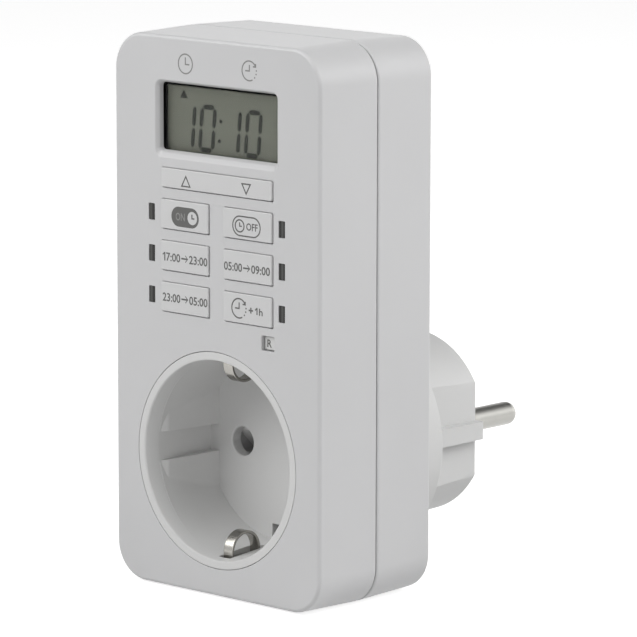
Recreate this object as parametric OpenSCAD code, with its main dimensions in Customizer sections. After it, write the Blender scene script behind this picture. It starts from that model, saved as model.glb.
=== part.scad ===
// Plug-in timer switch: a keypad and display above an earthed socket, with an earthed plug behind.
// Origin: centre of the plug's end face, between the pins. +Y runs into the wall, the front faces -Y,
// +X is to the right seen from the front, +Z is up. Depths are counted from the front face towards +Y.

/* [Housing] */
// Width of the housing at its parting line
body_w = 57; // [56:0.5:80]
// Height of the housing at its parting line
body_h = 112.3; // [112:0.5:140]
// Depth of the housing, front face to rear face
body_depth = 32.5; // [32:0.5:42]
// Height of the socket axis above the housing's bottom
axis_rise = 28.15; // [28:0.25:34]
// Depth of the parting line behind the front face
seam_depth = 16.2; // [15:0.1:19]
// Corner radius of the housing
corner_r = 8; // [5:0.5:12]
// Rounding of the front and rear edges
edge_r = 1; // [0.4:0.1:1.6]
// Thickness of side and rear walls
wall = 2; // [1.6:0.1:2.4]
// Thickness of the front wall
front_wall = 2.2; // [1.8:0.1:2.6]
// How much each side draws in from the parting line to the front or rear edge
draft = 0.4; // [0:0.1:1]
// Half width of the shadow line at the parting line
shadow_line = 0.25; // [0.1:0.05:0.4]

/* [Socket] */
// Bore of the plug recess
recess_d = 40; // [39:0.25:42]
// Depth of the plug recess
recess_depth = 17.5; // [17:0.25:19]
// Width of the ring that shows round the recess
rim_w = 1.65; // [1.2:0.05:2]
// Distance between the flats on the left and right of the recess
recess_flats = 33; // [32.5:0.25:36]
// Depth behind the front face at which the flats start
flats_start = 3.5; // [2.5:0.25:6]
// Height of the guide groove in each flat
groove_h = 5.4; // [4.5:0.1:7]
// Distance between the pins and between the contact holes
pin_pitch = 19; // [18:0.5:20]
// Bore of a contact hole
hole_d = 5.6; // [5.4:0.1:6.2]
// Thickness of the socket floor
floor_t = 2.5; // [2:0.1:3.5]
// Width of an earth clip's strip
clip_w = 2.8; // [2:0.1:4]
// Length of an earth clip's bow along the depth
clip_span = 7.5; // [6.5:0.1:8]
// Distance of the bow's crest from the socket axis
clip_crest = 15.6; // [15.2:0.1:16.5]
// Thickness of the earth clips and straps
clip_t = 0.6; // [0.4:0.05:0.7]

/* [Plug] */
// Reach of the plug body behind the housing
plug_reach = 27.3; // [26.5:0.1:32]
// Diameter of the plug body at its end face
plug_d = 37.5; // [37:0.1:38.5]
// Diameter of the collar next to the housing
collar_d = 49; // [48:0.25:50.5]
// Length of the collar
collar_len = 8; // [6:0.25:9]
// Distance between the plug body's flats
plug_flats = 32.6; // [32:0.1:34]
// Height of the guide rib on each flat
rib_h = 3.7; // [3:0.1:4.6]
// Distance between the crests of the two guide ribs
rib_span = 37; // [36:0.1:37.3]
// Diameter of a pin
pin_d = 4.8; // [4:0.1:4.8]
// Length of a pin outside the end face
pin_len = 19; // [18:0.5:20]
// Rounding of a pin's tip
pin_tip_r = 1.9; // [0.8:0.1:2]
// Bore of a contact sleeve
sleeve_d = 4.9; // [4.9:0.05:5.1]

/* [Display] */
// Width of the clear opening over the display
window_w = 31.2; // [26:0.2:32]
// Height of the clear opening over the display
window_h = 13.4; // [11:0.2:14]
// Height of the opening's centre above the socket axis
window_z = 67.5; // [67:0.1:69]
// Width of the bevel at the opening's left and right
bevel_x = 1.7; // [0.8:0.1:2]
// Width of the bevel above and below the opening
bevel_z = 0.8; // [0.4:0.1:1]
// Depth of the bevelled pocket
bevel_depth = 1.4; // [0.8:0.1:1.5]
// Thickness of the clear window
window_t = 1; // [0.8:0.1:1.2]
// Thickness of the display glass
lcd_t = 2.2; // [1.8:0.1:2.6]

/* [Keys] */
// Width of a mode key
key_w = 13.7; // [11:0.1:13.8]
// Height of a mode key
key_h = 6.1; // [5:0.1:6.5]
// Distance of a key's centre from the middle
key_x = 8.65; // [8.65:0.05:8.8]
// Height of the top row above the socket axis
key_top_z = 47.85; // [47:0.05:48]
// Distance from row to row
key_pitch = 8.35; // [8:0.05:8.6]
// How far the keys stand out of the front face
key_rise = 0.35; // [0:0.05:0.8]
// Gap round a key in its opening
key_gap = 0.15; // [0.1:0.01:0.25]
// Travel of a key
key_travel = 0.6; // [0.3:0.05:0.8]
// Length of the rocker bar
rocker_w = 31; // [24:0.5:31.5]
// Height of the rocker bar
rocker_h = 4.2; // [3.6:0.1:4.4]
// Height of the rocker bar's centre above the socket axis
rocker_z = 55.2; // [55:0.05:55.4]
// Width of the reset key's pocket
reset_w = 3.6; // [3.2:0.1:4.2]
// Height of the reset key's pocket
reset_h = 3; // [2.8:0.1:3.4]
// Distance of the reset key from the middle
reset_x = 14.1; // [13:0.1:15]
// Height of the reset key above the socket axis
reset_z = 25; // [24.8:0.1:25.2]
// Width of an indicator slot
slot_w = 1.65; // [1.2:0.05:2]
// Height of an indicator slot
slot_h = 3.3; // [2.4:0.1:4]
// Distance of the indicator slots from the middle
slot_x = 18.05; // [17.9:0.05:18.3]

/* [Inner parts] */
// Depth of the control board's front side
board_depth = 9; // [8.6:0.1:9.6]
// Thickness of both circuit boards
board_t = 1.6; // [1.2:0.1:1.8]
// Distance from the power board to the rear wall
board_lift = 1.4; // [1.2:0.1:1.6]
// Height of the relay
relay_h = 15.5; // [12:0.1:15.7]
// Travel of the contact shutter
shutter_travel = 6; // [5.8:0.1:6.4]
// Diameter of the backup battery
battery_d = 15.6; // [11:0.1:16]
// Thickness of the backup battery
battery_t = 6; // [4:0.1:6.4]

/* [Hidden] */
$fn = 64;
hull_fn = 32;
skin = 0.01;          // thickness of the thin slabs that a hull joins
fit_gap = 0.05;       // running clearance of pins, screws and sleeves
seat_gap = 0.1;       // clearance between parts that drop into each other

// Housing
front_y = -(body_depth + plug_reach);
body_mid_z = body_h / 2 - axis_rise;
rear_in = body_depth - wall;
lip_t = 0.8;
lip_len = 1.5;
lip_gap = 0.25;       // gap between the front cover's lip and the rear cover's wall
screw_inset = 5.5;    // housing screws from the outside of the parting line
screw_x = body_w / 2 - screw_inset;
screw_top_z = body_h - axis_rise - screw_inset;
screw_low_z = screw_inset - axis_rise;
boss_r = 3.2;
screw_r = 1.2;
screw_head_r = 2.3;
screw_head_t = 1.9;
screw_seat = seam_depth + 7.8;    // depth of the seat under a housing screw's head
screw_bite = 7.5;                 // length of thread in the front cover
small_bite = 2.2;                 // a small screw ends this far behind the front wall or a seat

// Socket
recess_r = recess_d / 2;
rim_r = recess_r + rim_w;
cup_r = recess_r + wall;
flange_r = rim_r + 1.95;
flange_t = 1.05;
cup_back = recess_depth + floor_t;
hole_x = pin_pitch / 2;
hole_r = hole_d / 2;
lead_in = 0.4;
groove_deep = 2.2;
clip_mid = 7.5;                   // depth of the middle of an earth clip's bow
clip_foot_z = cup_r + fit_gap;
floor_slot = [2.4, 15.8, 19];     // width and the two heights of the slot behind each earth clip
ear_r = 3;
ear_ring = cup_r + ear_r;         // radius at which the core's screw ears sit
strap_w = 5;
channel_w = strap_w + 1;
strap_z = clip_foot_z + clip_t;

// Core between socket and plug
shutter_space = 6;                // room along the depth for the shutter
carrier_plate = cup_back + shutter_space;
carrier_t = 2.5;
ledge_depth = carrier_plate + carrier_t;
tube_r = cup_r + 1;
tube_bore_r = cup_r - 1;
carrier_r = tube_bore_r - seat_gap;
carrier_ring = 1.6;
ledge_r = tube_bore_r - 0.8;
pocket_deep = 1;                  // depth of a contact sleeve's seat in the carrier
sleeve_t = 0.8;
sleeve_len = 12.5;
sleeve_start = ledge_depth - pocket_deep + fit_gap;
bar_t = 0.8;                      // thickness of the current bars
bar_front = rear_in - board_lift; // front of the bars, on the power board's rear side
bar_back = bar_front + bar_t;
strap_cross = rear_in + 0.7;      // depth at which the earth strap crosses the core
bar_w = 2.8;                      // width of the switched bar and of the live sleeve's tab
switched_at = -hole_x + sleeve_d / 2 + sleeve_t + 0.15;    // left side, clear of the live sleeve
switched_x = [switched_at, switched_at + 3];
sleeve_tab = sleeve_d / 2 + 0.3;  // where a sleeve's tab starts, within the sleeve's wall
bar_way = [hole_x + 3.5, 8];      // half width and lower edge of the bars' way out of the core

// Shutter
shutter_front = cup_back + 0.2;
shutter_back = carrier_plate - 0.2;
shutter_low = -3.3;
shutter_top = 3.3;
shutter_half = hole_x + 3.5;
wing_w = 7;                       // width of each wing, over one contact hole
slope_start = 1.7;                // height at which a wing's slope starts, above the pin's axis
slope_end = 0.6;                  // length of the flat behind the slope
bridge_top = 4.6;
peg_r = 1.3;
peg_h = 2;
spring_r = 2;
spring_wire = 0.45;
spring_top = bridge_top + shutter_travel + 4;
spring_depth = (cup_back + carrier_plate) / 2;
rail = shutter_half + 0.12;       // inner side of the rails that guide the shutter
rail_t = 1.5;
rail_low = shutter_low - 1.3;
rail_high = bridge_top + shutter_travel + 0.8;
rail_step = 1.7;                  // how far the lower stops reach under the shutter

// Plug
plug_root_r = plug_d / 2 + 0.45;
collar_r = collar_d / 2;
collar_back = body_depth + collar_len;
end_depth = body_depth + plug_reach;
end_t = 3.2;
core_wall = 2.2;
pin_r = pin_d / 2;
pin_root_r = pin_r + 0.2;
pin_head_r = 3.6;
pin_head_t = 1.6;
tail_r = 1.6;
tail_len = 2;
pin_seat = end_depth - end_t;
cavity_half = max(plug_flats / 2 - core_wall, hole_x + pin_head_r + 0.5);    // round the pins' heads
tail_plate = pin_seat - pin_head_t - bar_t;   // depth of the current bars at the pins
bar_z = 5.5;                                  // height of the bars above the pin axis
strip_w = 4.4;
strip_t = 0.8;
strip_out = 18;                               // height of the earth strips' outer face
strip_in = 15.2;
strip_rise = collar_back + 2.7;               // depth at which an earth strip comes out
strip_end = end_depth - 1.2;

// Keys and display
key_flange = 0.7;
key_flange_t = 0.8;
key_seat = front_wall + seat_gap;
stem_r = 1.5;
mat_top = 5.65;
stem_end = mat_top - fit_gap;
mat_t = 1;
mat_back = board_depth;
mat_w = 32.8;
dome_r = 2.5;
small_dome_r = 1.7;
pill_t = 0.4;
hollow_front = mat_back - key_travel - pill_t;    // a pill touches the board after the key's travel
rocker_axis = 3.6;                // depth of the rocker's pivot
rocker_pin_r = 0.9;
rocker_lug = 1.1;
lug_half = 1.9;
lug_back = rocker_axis + 1.7;
rocker_web = [1.6, rocker_axis + 0.9];    // half width and depth of the rocker's middle web
rocker_end_gap = 0.25;
rocker_stem_x = 8.3;
rocker_back = 1.6;
rocker_face_z = rocker_h / 2 + key_gap;
reset_sink = 0.8;
lens_sink = 0.7;
lens_gap = 0.05;
led_t = 0.9;
window_lap = 1.5;                 // how far the window reaches behind the opening's edge
window_front = bevel_depth + 0.1;
frame_front = window_front + window_t;
frame_lip = 0.4;
lcd_front = frame_front + frame_lip;
lcd_w = window_w + 5.2;           // the display glass reaches behind the opening's edges
lcd_h = window_h + 2.4;
frame_wall = 1.2;
frame_h = lcd_h + 2 * (frame_wall - 0.3);
strip_h = 1.8;                    // height of a display connector strip

// Boards
board_back = board_depth + board_t;
board_half = body_w / 2 - 4.3;
board_low = 22.9;
notch_half = 4;                   // notch in the board and the mat, over the earth strap
notch_top = strap_z + clip_t + 1.35;
board_step = screw_top_z - boss_r - 0.6;
board_top = body_h - axis_rise - 3.6;
board_top_half = screw_x - boss_r - 0.8;
power_front = bar_front - board_t;
power_low = 26.5;
bar_end = power_low + 3.5;        // height at which the bars end on the power board
small_screw_r = 0.95;
small_head_r = 2;
small_head_t = 1.6;
small_boss_r = 2.2;
post_x = board_half - 2.3;
post_low = 26.5;
post_high = 72.4;
power_post_x = board_half - 2.8;
power_post_low = 29.2;
power_post_high = 71.4;
link_x = board_half - 2.7;
link_pins = 6;
link_pitch = 2.54;
link_low = 54.5;
link_pin = 0.64;

// Parts on the boards: low corner, high corner in x and z
relay_box = [[-19, 32.5], [10, 45.2]];
relay_front = power_front - relay_h;
relay_wall = 0.8;
relay_mid_z = (relay_box[0][1] + relay_box[1][1]) / 2;
relay_base_t = 2;
coil_depth = relay_front + 8;
coil_r = 4.3;
core_r = 3;
core_end = -2.2;
yoke_t = 1;
yoke_x = relay_box[0][0] + 2;     // outside of the yoke's upright
yoke_half = 4;
spool_t = 0.8;                    // thickness of the spool's two flanges
hinge_x = -1.3;
hinge_depth = relay_front + 2.9;
armature_t = 1;
armature_len = 10;
armature_h = 8.6;
arm_reach = 6;
button_r = 1.2;
battery_at = [-11, 66];
tab_t = 0.3;                      // thickness of the battery's tabs
chip_at = [4, 52.5];
crystal_at = [15, 58];
film_box = [[-20, 47.2], [-2, 55.7]];
film_h = 15;
can_at = [8, 53];
can_r = 5;
can_h = 12.5;
disc_at = [18, 50];
disc_r = 4.5;
disc_t = 4;
fuse_at = [7, 63.5];
diode_x = [2, 6, 10, 14];
diode_z = 70;
plastic = "#c9c9ca";
pale = "#dadadb";
steel = "#b9b8b4";
nickel = "#a9a69c";
copper = "#b87333";
green = "#2f6b3a";
black = "#222222";

// ---------- helpers ----------

// A flat shape in x and z, given its thickness from depth d0 to depth d1
module slab(d0, d1) {
  translate([0, front_y + d1, 0]) rotate([90, 0, 0]) linear_extrude(d1 - d0) children();
}

// A round bar along the depth
module rod(r, d0, d1, x = 0, z = 0) {
  translate([x, front_y + d1, z]) rotate([90, 0, 0]) cylinder(r = r, h = d1 - d0);
}

// A tapered round bar along the depth
module taper(r_front, r_back, d0, d1, x = 0, z = 0) {
  translate([x, front_y + d1, z]) rotate([90, 0, 0]) cylinder(r1 = r_back, r2 = r_front, h = d1 - d0);
}

// A block between two x, two depths and two z
module block(x0, x1, d0, d1, z0, z1) {
  translate([x0, front_y + d0, z0]) cube([x1 - x0, d1 - d0, z1 - z0]);
}

// A body of revolution about a line along the depth: points are [radius, depth]
module turned(points, x = 0, z = 0) {
  translate([x, front_y, z]) rotate([-90, 0, 0]) rotate_extrude() polygon(points);
}

module rounded(w, h, r) {
  square([w - 2 * r, h], center = true);
  square([w, h - 2 * r], center = true);
  for (sx = [-1, 1], sz = [-1, 1]) translate([sx * (w / 2 - r), sz * (h / 2 - r)]) circle(r);
}

// The housing's outline in x and z, drawn in by an amount on every side
module outline(inset) {
  translate([0, body_mid_z]) rounded(body_w - 2 * inset, body_h - 2 * inset, corner_r - inset);
}

module outline_skin(depth, inset) {
  slab(depth, depth + skin) outline(inset, $fn = hull_fn);
}

module at_corners(x, low, high) {
  for (sx = [-1, 1], z = [low, high]) translate([sx * x, 0, z]) children();
}

module at_ears() {
  for (a = [45, 135, 225, 315]) translate([ear_ring * cos(a), 0, ear_ring * sin(a)]) children();
}

// Points of a quarter arc about [cx, cy], from angle a0 to a1
function arc(cx, cy, r, a0, a1, steps = 8) =
  [for (i = [0:steps]) let (a = a0 + (a1 - a0) * i / steps) [cx + r * cos(a), cy + r * sin(a)]];

function key_z(row) = key_top_z - row * key_pitch;

// ---------- housing ----------

module front_outer() {
  hull() {
    outline_skin(0, draft + edge_r);
    outline_skin(0.3 * edge_r, draft + 0.3 * edge_r);
    outline_skin(edge_r, draft);
    outline_skin(seam_depth - shadow_line, 0);
    outline_skin(seam_depth - skin, shadow_line);
  }
}

module front_inner() {
  hull() {
    outline_skin(front_wall, draft + wall);
    outline_skin(seam_depth, wall);
  }
}

module key_openings() {
  for (row = [0:2], sx = [-1, 1])
    block(sx * key_x - key_w / 2 - key_gap, sx * key_x + key_w / 2 + key_gap, -1, front_wall + 1,
      key_z(row) - key_h / 2 - key_gap, key_z(row) + key_h / 2 + key_gap);
  block(-rocker_w / 2 - rocker_end_gap, rocker_w / 2 + rocker_end_gap, -1, front_wall + 1,
    rocker_z - rocker_face_z, rocker_z + rocker_face_z);
  block(reset_x - reset_w / 2, reset_x + reset_w / 2, -1, front_wall + 1,
    reset_z - reset_h / 2, reset_z + reset_h / 2);
}

module window_opening() {
  hull() {
    slab(-skin, 0) translate([0, window_z])
      square([window_w + 2 * bevel_x, window_h + 2 * bevel_z], center = true);
    slab(bevel_depth, bevel_depth + skin) translate([0, window_z])
      square([window_w, window_h], center = true);
  }
  slab(0, front_wall + 1) translate([0, window_z]) square([window_w, window_h], center = true);
  slab(window_front, front_wall + 1) translate([0, window_z])
    square([window_w + 2 * (window_lap + seat_gap), window_h + 2 * (window_lap + seat_gap)],
      center = true);
}

module indicator_openings() {
  for (row = [0:2], sx = [-1, 1])
    block(sx * slot_x - slot_w / 2, sx * slot_x + slot_w / 2, -1, front_wall + 1,
      key_z(row) - slot_h / 2, key_z(row) + slot_h / 2);
}

// Two lugs behind the front wall carry the rocker's pivot pin
module rocker_lugs() {
  difference() {
    for (s = [-1, 1]) {
      low = rocker_z + (s > 0 ? rocker_face_z : -rocker_face_z - rocker_lug);
      block(-lug_half, lug_half, front_wall - skin, lug_back, low, low + rocker_lug);
    }
    translate([0, front_y + rocker_axis, rocker_z - 6]) cylinder(r = rocker_pin_r + fit_gap, h = 12);
  }
}

module front_cover() {
  color(plastic) difference() {
    union() {
      difference() {
        front_outer();
        front_inner();
      }
      at_corners(screw_x, screw_low_z, screw_top_z) rod(boss_r, front_wall - skin, seam_depth);
      at_corners(post_x, post_low, post_high) rod(small_boss_r, front_wall - skin, board_depth);
      rocker_lugs();
      slab(seam_depth - 2.5, seam_depth + lip_len) difference() {
        outline(wall + lip_gap);
        outline(wall + lip_gap + lip_t);
      }
      slab(seam_depth - 2.5, seam_depth - 1) difference() {
        outline(wall - 0.5);
        outline(wall + lip_gap + lip_t);
      }
    }
    rod(rim_r + seat_gap, -1, front_wall + 1);
    key_openings();
    window_opening();
    indicator_openings();
    at_corners(screw_x, screw_low_z, screw_top_z)
      rod(screw_r + fit_gap, seam_depth - screw_bite - 1, seam_depth + lip_len + 1);
    at_corners(post_x, post_low, post_high) rod(small_screw_r + fit_gap, front_wall + 1.4, board_depth + 1);
  }
}

module rear_outer() {
  hull() {
    outline_skin(seam_depth, shadow_line);
    outline_skin(seam_depth + shadow_line, 0);
    outline_skin(body_depth - edge_r, draft);
    outline_skin(body_depth - 0.3 * edge_r, draft + 0.3 * edge_r);
    outline_skin(body_depth - skin, draft + edge_r);
  }
}

module rear_inner() {
  hull() {
    outline_skin(seam_depth - skin, wall);
    outline_skin(rear_in - skin, draft + wall);
  }
}

module rear_cover() {
  color(plastic) difference() {
    union() {
      difference() {
        rear_outer();
        rear_inner();
      }
      at_corners(screw_x, screw_low_z, screw_top_z) rod(boss_r, seam_depth, rear_in + skin);
      at_corners(power_post_x, power_post_low, power_post_high)
        rod(small_boss_r, rear_in - board_lift, rear_in + skin);
    }
    slab(seam_depth - 1, seam_depth + lip_len + seat_gap) difference() {
      outline(wall + lip_gap - seat_gap);
      outline(wall + lip_gap + lip_t + seat_gap);
    }
    rod(collar_r + seat_gap, rear_in - 1, body_depth + 1);
    at_corners(screw_x, screw_low_z, screw_top_z) {
      rod(screw_r + seat_gap, seam_depth - 1, body_depth);
      rod(screw_head_r + seat_gap, screw_seat, body_depth + 1);
    }
    at_corners(power_post_x, power_post_low, power_post_high)
      rod(small_screw_r + fit_gap, rear_in - board_lift - 1, rear_in + wall - 0.6);
  }
}

// A cross-headed screw along the depth: under-head depth, length, and the way its head points
module screw(seat, length, r, head_r, head_t, head_back = true) {
  s = head_back ? 1 : -1;
  difference() {
    union() {
      rod(r, min(seat, seat - s * length), max(seat, seat - s * length));
      rod(head_r, min(seat, seat + s * head_t), max(seat, seat + s * head_t));
    }
    for (a = [0, 90]) translate([0, front_y + seat + s * head_t, 0]) rotate([0, a, 0])
      cube([1.3 * head_r, head_t, 0.3 * head_r], center = true);
  }
}

module housing_screws() {
  color(steel) at_corners(screw_x, screw_low_z, screw_top_z)
    screw(screw_seat, screw_seat - seam_depth + screw_bite, screw_r, screw_head_r, screw_head_t);
}

// ---------- socket and plug core ----------

module cup_solid() {
  rod(rim_r, 0, front_wall + seat_gap);
  rod(flange_r, front_wall, front_wall + flange_t);
  rod(cup_r, front_wall, recess_depth + skin);
  rod(tube_r, recess_depth, cup_back);
  at_ears() rod(ear_r, recess_depth, cup_back);
}

// The recess: round at the mouth, then flat at left and right with a lead-in slope and a groove
module cup_recess() {
  rod(recess_r, -1, flats_start - 2);
  intersection() {
    rod(recess_r, flats_start - 3, recess_depth);
    union() {
      translate([0, front_y, 0]) linear_extrude(60, center = true) polygon([
        [-recess_r - 1, flats_start - 3], [recess_r + 1, flats_start - 3],
        [recess_r + 1, flats_start - 2], [recess_flats / 2, flats_start],
        [recess_flats / 2, recess_depth], [-recess_flats / 2, recess_depth],
        [-recess_flats / 2, flats_start], [-recess_r - 1, flats_start - 2]]);
      block(-recess_flats / 2 - groove_deep, recess_flats / 2 + groove_deep, 0, recess_depth,
        -groove_h / 2, groove_h / 2);
    }
  }
}

module socket_cup() {
  color(pale) difference() {
    cup_solid();
    cup_recess();
    for (sx = [-1, 1]) {
      rod(hole_r, recess_depth - 1, cup_back + 1, sx * hole_x);
      taper(hole_r + lead_in, hole_r, recess_depth - skin, recess_depth + lead_in, sx * hole_x);
    }
    for (sz = [-1, 1]) {
      clip_slot = clip_w / 2 + 0.3;
      block(-clip_slot, clip_slot, clip_mid - clip_span / 2 - 0.3, clip_mid + clip_span / 2 + 0.4,
        sz * (cup_r - 1.5) - 2, sz * (cup_r - 1.5) + 2);
      block(-floor_slot[0] / 2, floor_slot[0] / 2, recess_depth - 1, cup_back + 1,
        sz > 0 ? floor_slot[1] : -floor_slot[2], sz > 0 ? floor_slot[2] : -floor_slot[1]);
      block(-channel_w / 2, channel_w / 2, recess_depth - skin, cup_back + 1,
        sz > 0 ? clip_foot_z - 0.1 : -tube_r - 1, sz > 0 ? tube_r + 1 : -clip_foot_z + 0.1);
    }
    at_ears() rod(screw_r + seat_gap, recess_depth - 1, cup_back + 1);
  }
}

module plug_outer() {
  rod(tube_r, cup_back, rear_in);
  rod(flange_r + 2, rear_in - 1.9, rear_in);
  rod(collar_r, rear_in - skin, collar_back);
  at_ears() rod(ear_r, cup_back, rear_in);
  intersection() {
    turned([[0, collar_back - 1], [plug_root_r, collar_back - 1], [plug_d / 2, end_depth - 0.4],
      [plug_d / 2 - 0.4, end_depth], [0, end_depth]]);
    union() {
      block(-plug_flats / 2, plug_flats / 2, collar_back - 1, end_depth, -30, 30);
      block(-rib_span / 2, rib_span / 2, collar_back - 1, end_depth, -rib_h / 2, rib_h / 2);
    }
  }
}

module plug_cavity() {
  rod(tube_bore_r, cup_back - 1, ledge_depth);
  rod(ledge_r, ledge_depth - 1, collar_back - core_wall);
  intersection() {
    rod(plug_root_r - core_wall, collar_back - 4, pin_seat);
    union() {
      block(-cavity_half, cavity_half, collar_back - 4, strip_rise + 1, -30, 30);
      block(-cavity_half, cavity_half, strip_rise, pin_seat, -strip_in + 0.6, strip_in - 0.6);
    }
  }
}

module plug_body() {
  color(pale) difference() {
    plug_outer();
    plug_cavity();
    block(-channel_w / 2, channel_w / 2, cup_back - 1, strap_cross + clip_t + 0.4,
      -strap_z - clip_t - 0.3, strap_z + clip_t + 0.3);
    block(-bar_way[0], bar_way[0], ledge_depth, rear_in + 1, bar_way[1], flange_r + 3);
    for (sz = [-1, 1]) {
      groove = strip_w / 2 + 0.4;
      out = plug_root_r + 1;
      deep = strip_out - strip_t - 0.6;
      block(-groove, groove, strip_rise - 0.3, end_depth + 1,
        sz > 0 ? deep : -out, sz > 0 ? out : -deep);
      block(-groove, groove, strip_rise - 0.3, strip_rise + strip_t + 0.3,
        sz > 0 ? strip_in - 1 : -out, sz > 0 ? out : 1 - strip_in);
    }
    for (sx = [-1, 1]) rod(pin_root_r + fit_gap, pin_seat - 1, end_depth + 1, sx * hole_x);
    at_ears() rod(screw_r + fit_gap, cup_back - 1, rear_in - 1.2);
  }
}

module core_screws() {
  color(steel) at_ears() screw(recess_depth, rear_in - recess_depth - small_bite, screw_r, screw_head_r,
    screw_head_t, head_back = false);
}

module pin(x) {
  tip = end_depth + pin_len;
  color(nickel) union() {
    turned(concat([[0, pin_seat - 1], [pin_root_r, pin_seat - 1], [pin_root_r, end_depth],
      [pin_r, end_depth]], arc(pin_r - pin_tip_r, tip - pin_tip_r, pin_tip_r, 0, 90), [[0, tip]]), x);
    rod(pin_head_r, pin_seat - pin_head_t, pin_seat, x);
    rod(tail_r, pin_seat - pin_head_t - tail_len, pin_seat - pin_head_t + skin, x);
  }
}

module live_pin() pin(-hole_x);
module neutral_pin() pin(hole_x);

// An earth strip of the plug, sz = 1 above and -1 below
module plug_earth_strip(sz) {
  at = strap_cross + clip_t;
  mirror([0, 0, sz > 0 ? 0 : 1]) {
    block(-strip_w / 2, strip_w / 2, at, at + strip_t, strip_in - 3, strip_in + strip_t);
    block(-strip_w / 2, strip_w / 2, at, strip_rise + strip_t, strip_in, strip_in + strip_t);
    block(-strip_w / 2, strip_w / 2, strip_rise, strip_rise + strip_t, strip_in, strip_out);
    block(-strip_w / 2, strip_w / 2, strip_rise, strip_end, strip_out - strip_t, strip_out);
    block(-strip_w / 2, strip_w / 2, strip_end - strip_t, strip_end, strip_out - strip_t - 0.5, strip_out);
  }
}

module plug_earth_strips() {
  color(nickel) for (sz = [-1, 1]) plug_earth_strip(sz);
}

// An earth clip: a bow that stands into the recess, with a foot in front and behind
module earth_clip(sz) {
  bow_r = clip_span / 2;
  bow_z = clip_crest + bow_r;
  front = clip_mid - bow_r;
  back = clip_mid + bow_r;
  color(nickel) mirror([0, 0, sz > 0 ? 0 : 1]) {
    translate([-clip_w / 2, front_y + clip_mid, bow_z]) rotate([90, 0, 90]) linear_extrude(clip_w)
      difference() {
        circle(bow_r);
        circle(bow_r - clip_t);
        translate([-bow_r - 1, 0]) square([2 * bow_r + 2, bow_r + 1]);
      }
    for (at = [front, back - clip_t])
      block(-clip_w / 2, clip_w / 2, at, at + clip_t, bow_z - skin, strap_z);
    block(-clip_w / 2, clip_w / 2, front, front + 1.8, clip_foot_z, strap_z);
    block(-clip_w / 2, clip_w / 2, back - clip_t, back + 3.8, clip_foot_z, strap_z);
  }
}

module earth_clip_upper() earth_clip(1);
module earth_clip_lower() earth_clip(-1);

module earth_strap() {
  arm_start = clip_mid + clip_span / 2 + 0.8;
  color(nickel) union() {
    for (sz = [-1, 1]) mirror([0, 0, sz > 0 ? 0 : 1])
      block(-strap_w / 2, strap_w / 2, arm_start, strap_cross + clip_t, strap_z, strap_z + clip_t);
    block(-strap_w / 2, strap_w / 2, strap_cross, strap_cross + clip_t,
      -strap_z - clip_t, strap_z + clip_t);
  }
}

// The shutter hides both contact holes; two pins together push its slopes and lift it
module contact_shutter() {
  color("#8d8d8b") {
    for (sx = [-1, 1])
      translate([sx * (shutter_half - wing_w / 2) - wing_w / 2, front_y, 0])
        rotate([90, 0, 90]) linear_extrude(wing_w) polygon([
          [shutter_front, shutter_top + skin], [shutter_front, slope_start],
          [shutter_back - slope_end, shutter_low],
          [shutter_back, shutter_low], [shutter_back, shutter_top + skin]]);
    block(-shutter_half, shutter_half, shutter_front, shutter_back, shutter_top, bridge_top);
    translate([0, front_y + spring_depth, bridge_top - skin]) cylinder(r = peg_r, h = peg_h);
  }
}

module shutter_spring() {
  color(steel) translate([0, front_y + spring_depth, bridge_top + 0.05]) difference() {
    cylinder(r = spring_r, h = spring_top - bridge_top - 0.1);
    translate([0, 0, -1]) cylinder(r = spring_r - spring_wire, h = spring_top - bridge_top + 2);
  }
}

module contact_carrier() {
  color("#d8d4c8") difference() {
    union() {
      rod(carrier_r, carrier_plate, ledge_depth);
      difference() {
        rod(carrier_r, cup_back + fit_gap, carrier_plate + skin);
        rod(carrier_r - carrier_ring, cup_back - 1, carrier_plate + 1);
      }
      for (sx = [-1, 1]) {
        block(sx > 0 ? rail : -rail - rail_t, sx > 0 ? rail + rail_t : -rail, shutter_front,
          carrier_plate + skin, rail_low, rail_high);
        block(sx > 0 ? shutter_half - rail_step : -rail - skin,
          sx > 0 ? rail + skin : rail_step - shutter_half, cup_back + 2, carrier_plate + skin,
          rail_low, shutter_low - fit_gap);
      }
      block(-3, 3, cup_back + 0.4, carrier_plate + skin, spring_top, spring_top + 1.4);
    }
    for (sx = [-1, 1]) {
      rod(hole_r, carrier_plate - 1, ledge_depth + 1, sx * hole_x);
      rod(sleeve_d / 2 + sleeve_t + fit_gap, ledge_depth - pocket_deep, ledge_depth + 1, sx * hole_x);
    }
  }
}

// A slotted contact sleeve along the depth
module sleeve(x) {
  difference() {
    rod(sleeve_d / 2 + sleeve_t, sleeve_start, sleeve_start + sleeve_len, x);
    rod(sleeve_d / 2, sleeve_start - 1, sleeve_start + sleeve_len + 1, x);
    block(x - 0.4, x + 0.4, sleeve_start + 4.5, sleeve_start + sleeve_len + 1, -5, 5);
  }
}

module live_contact() {
  color(copper) union() {
    sleeve(-hole_x);
    block(sleeve_tab - hole_x, switched_x[1], bar_back, bar_back + bar_t, -bar_w / 2, bar_w / 2);
  }
}

module neutral_contact() {
  color(copper) union() {
    sleeve(hole_x);
    block(hole_x - 1.5, hole_x + 1.5, bar_back, bar_back + bar_t, sleeve_tab, bar_z);
  }
}

// A current bar from a pin's tail, along the plug and up to the power board
module pin_bar(x) {
  color(copper) difference() {
    union() {
      block(x - 2, x + 2, bar_front, bar_back, bar_z, bar_end);
      block(x - 2, x + 2, bar_front, tail_plate + bar_t, bar_z, bar_z + bar_t);
      block(x - 2.4, x + 2.4, tail_plate, tail_plate + bar_t, -2.6, bar_z + bar_t);
    }
    rod(tail_r + fit_gap, tail_plate - 1, tail_plate + bar_t + 1, x);
  }
}

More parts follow.
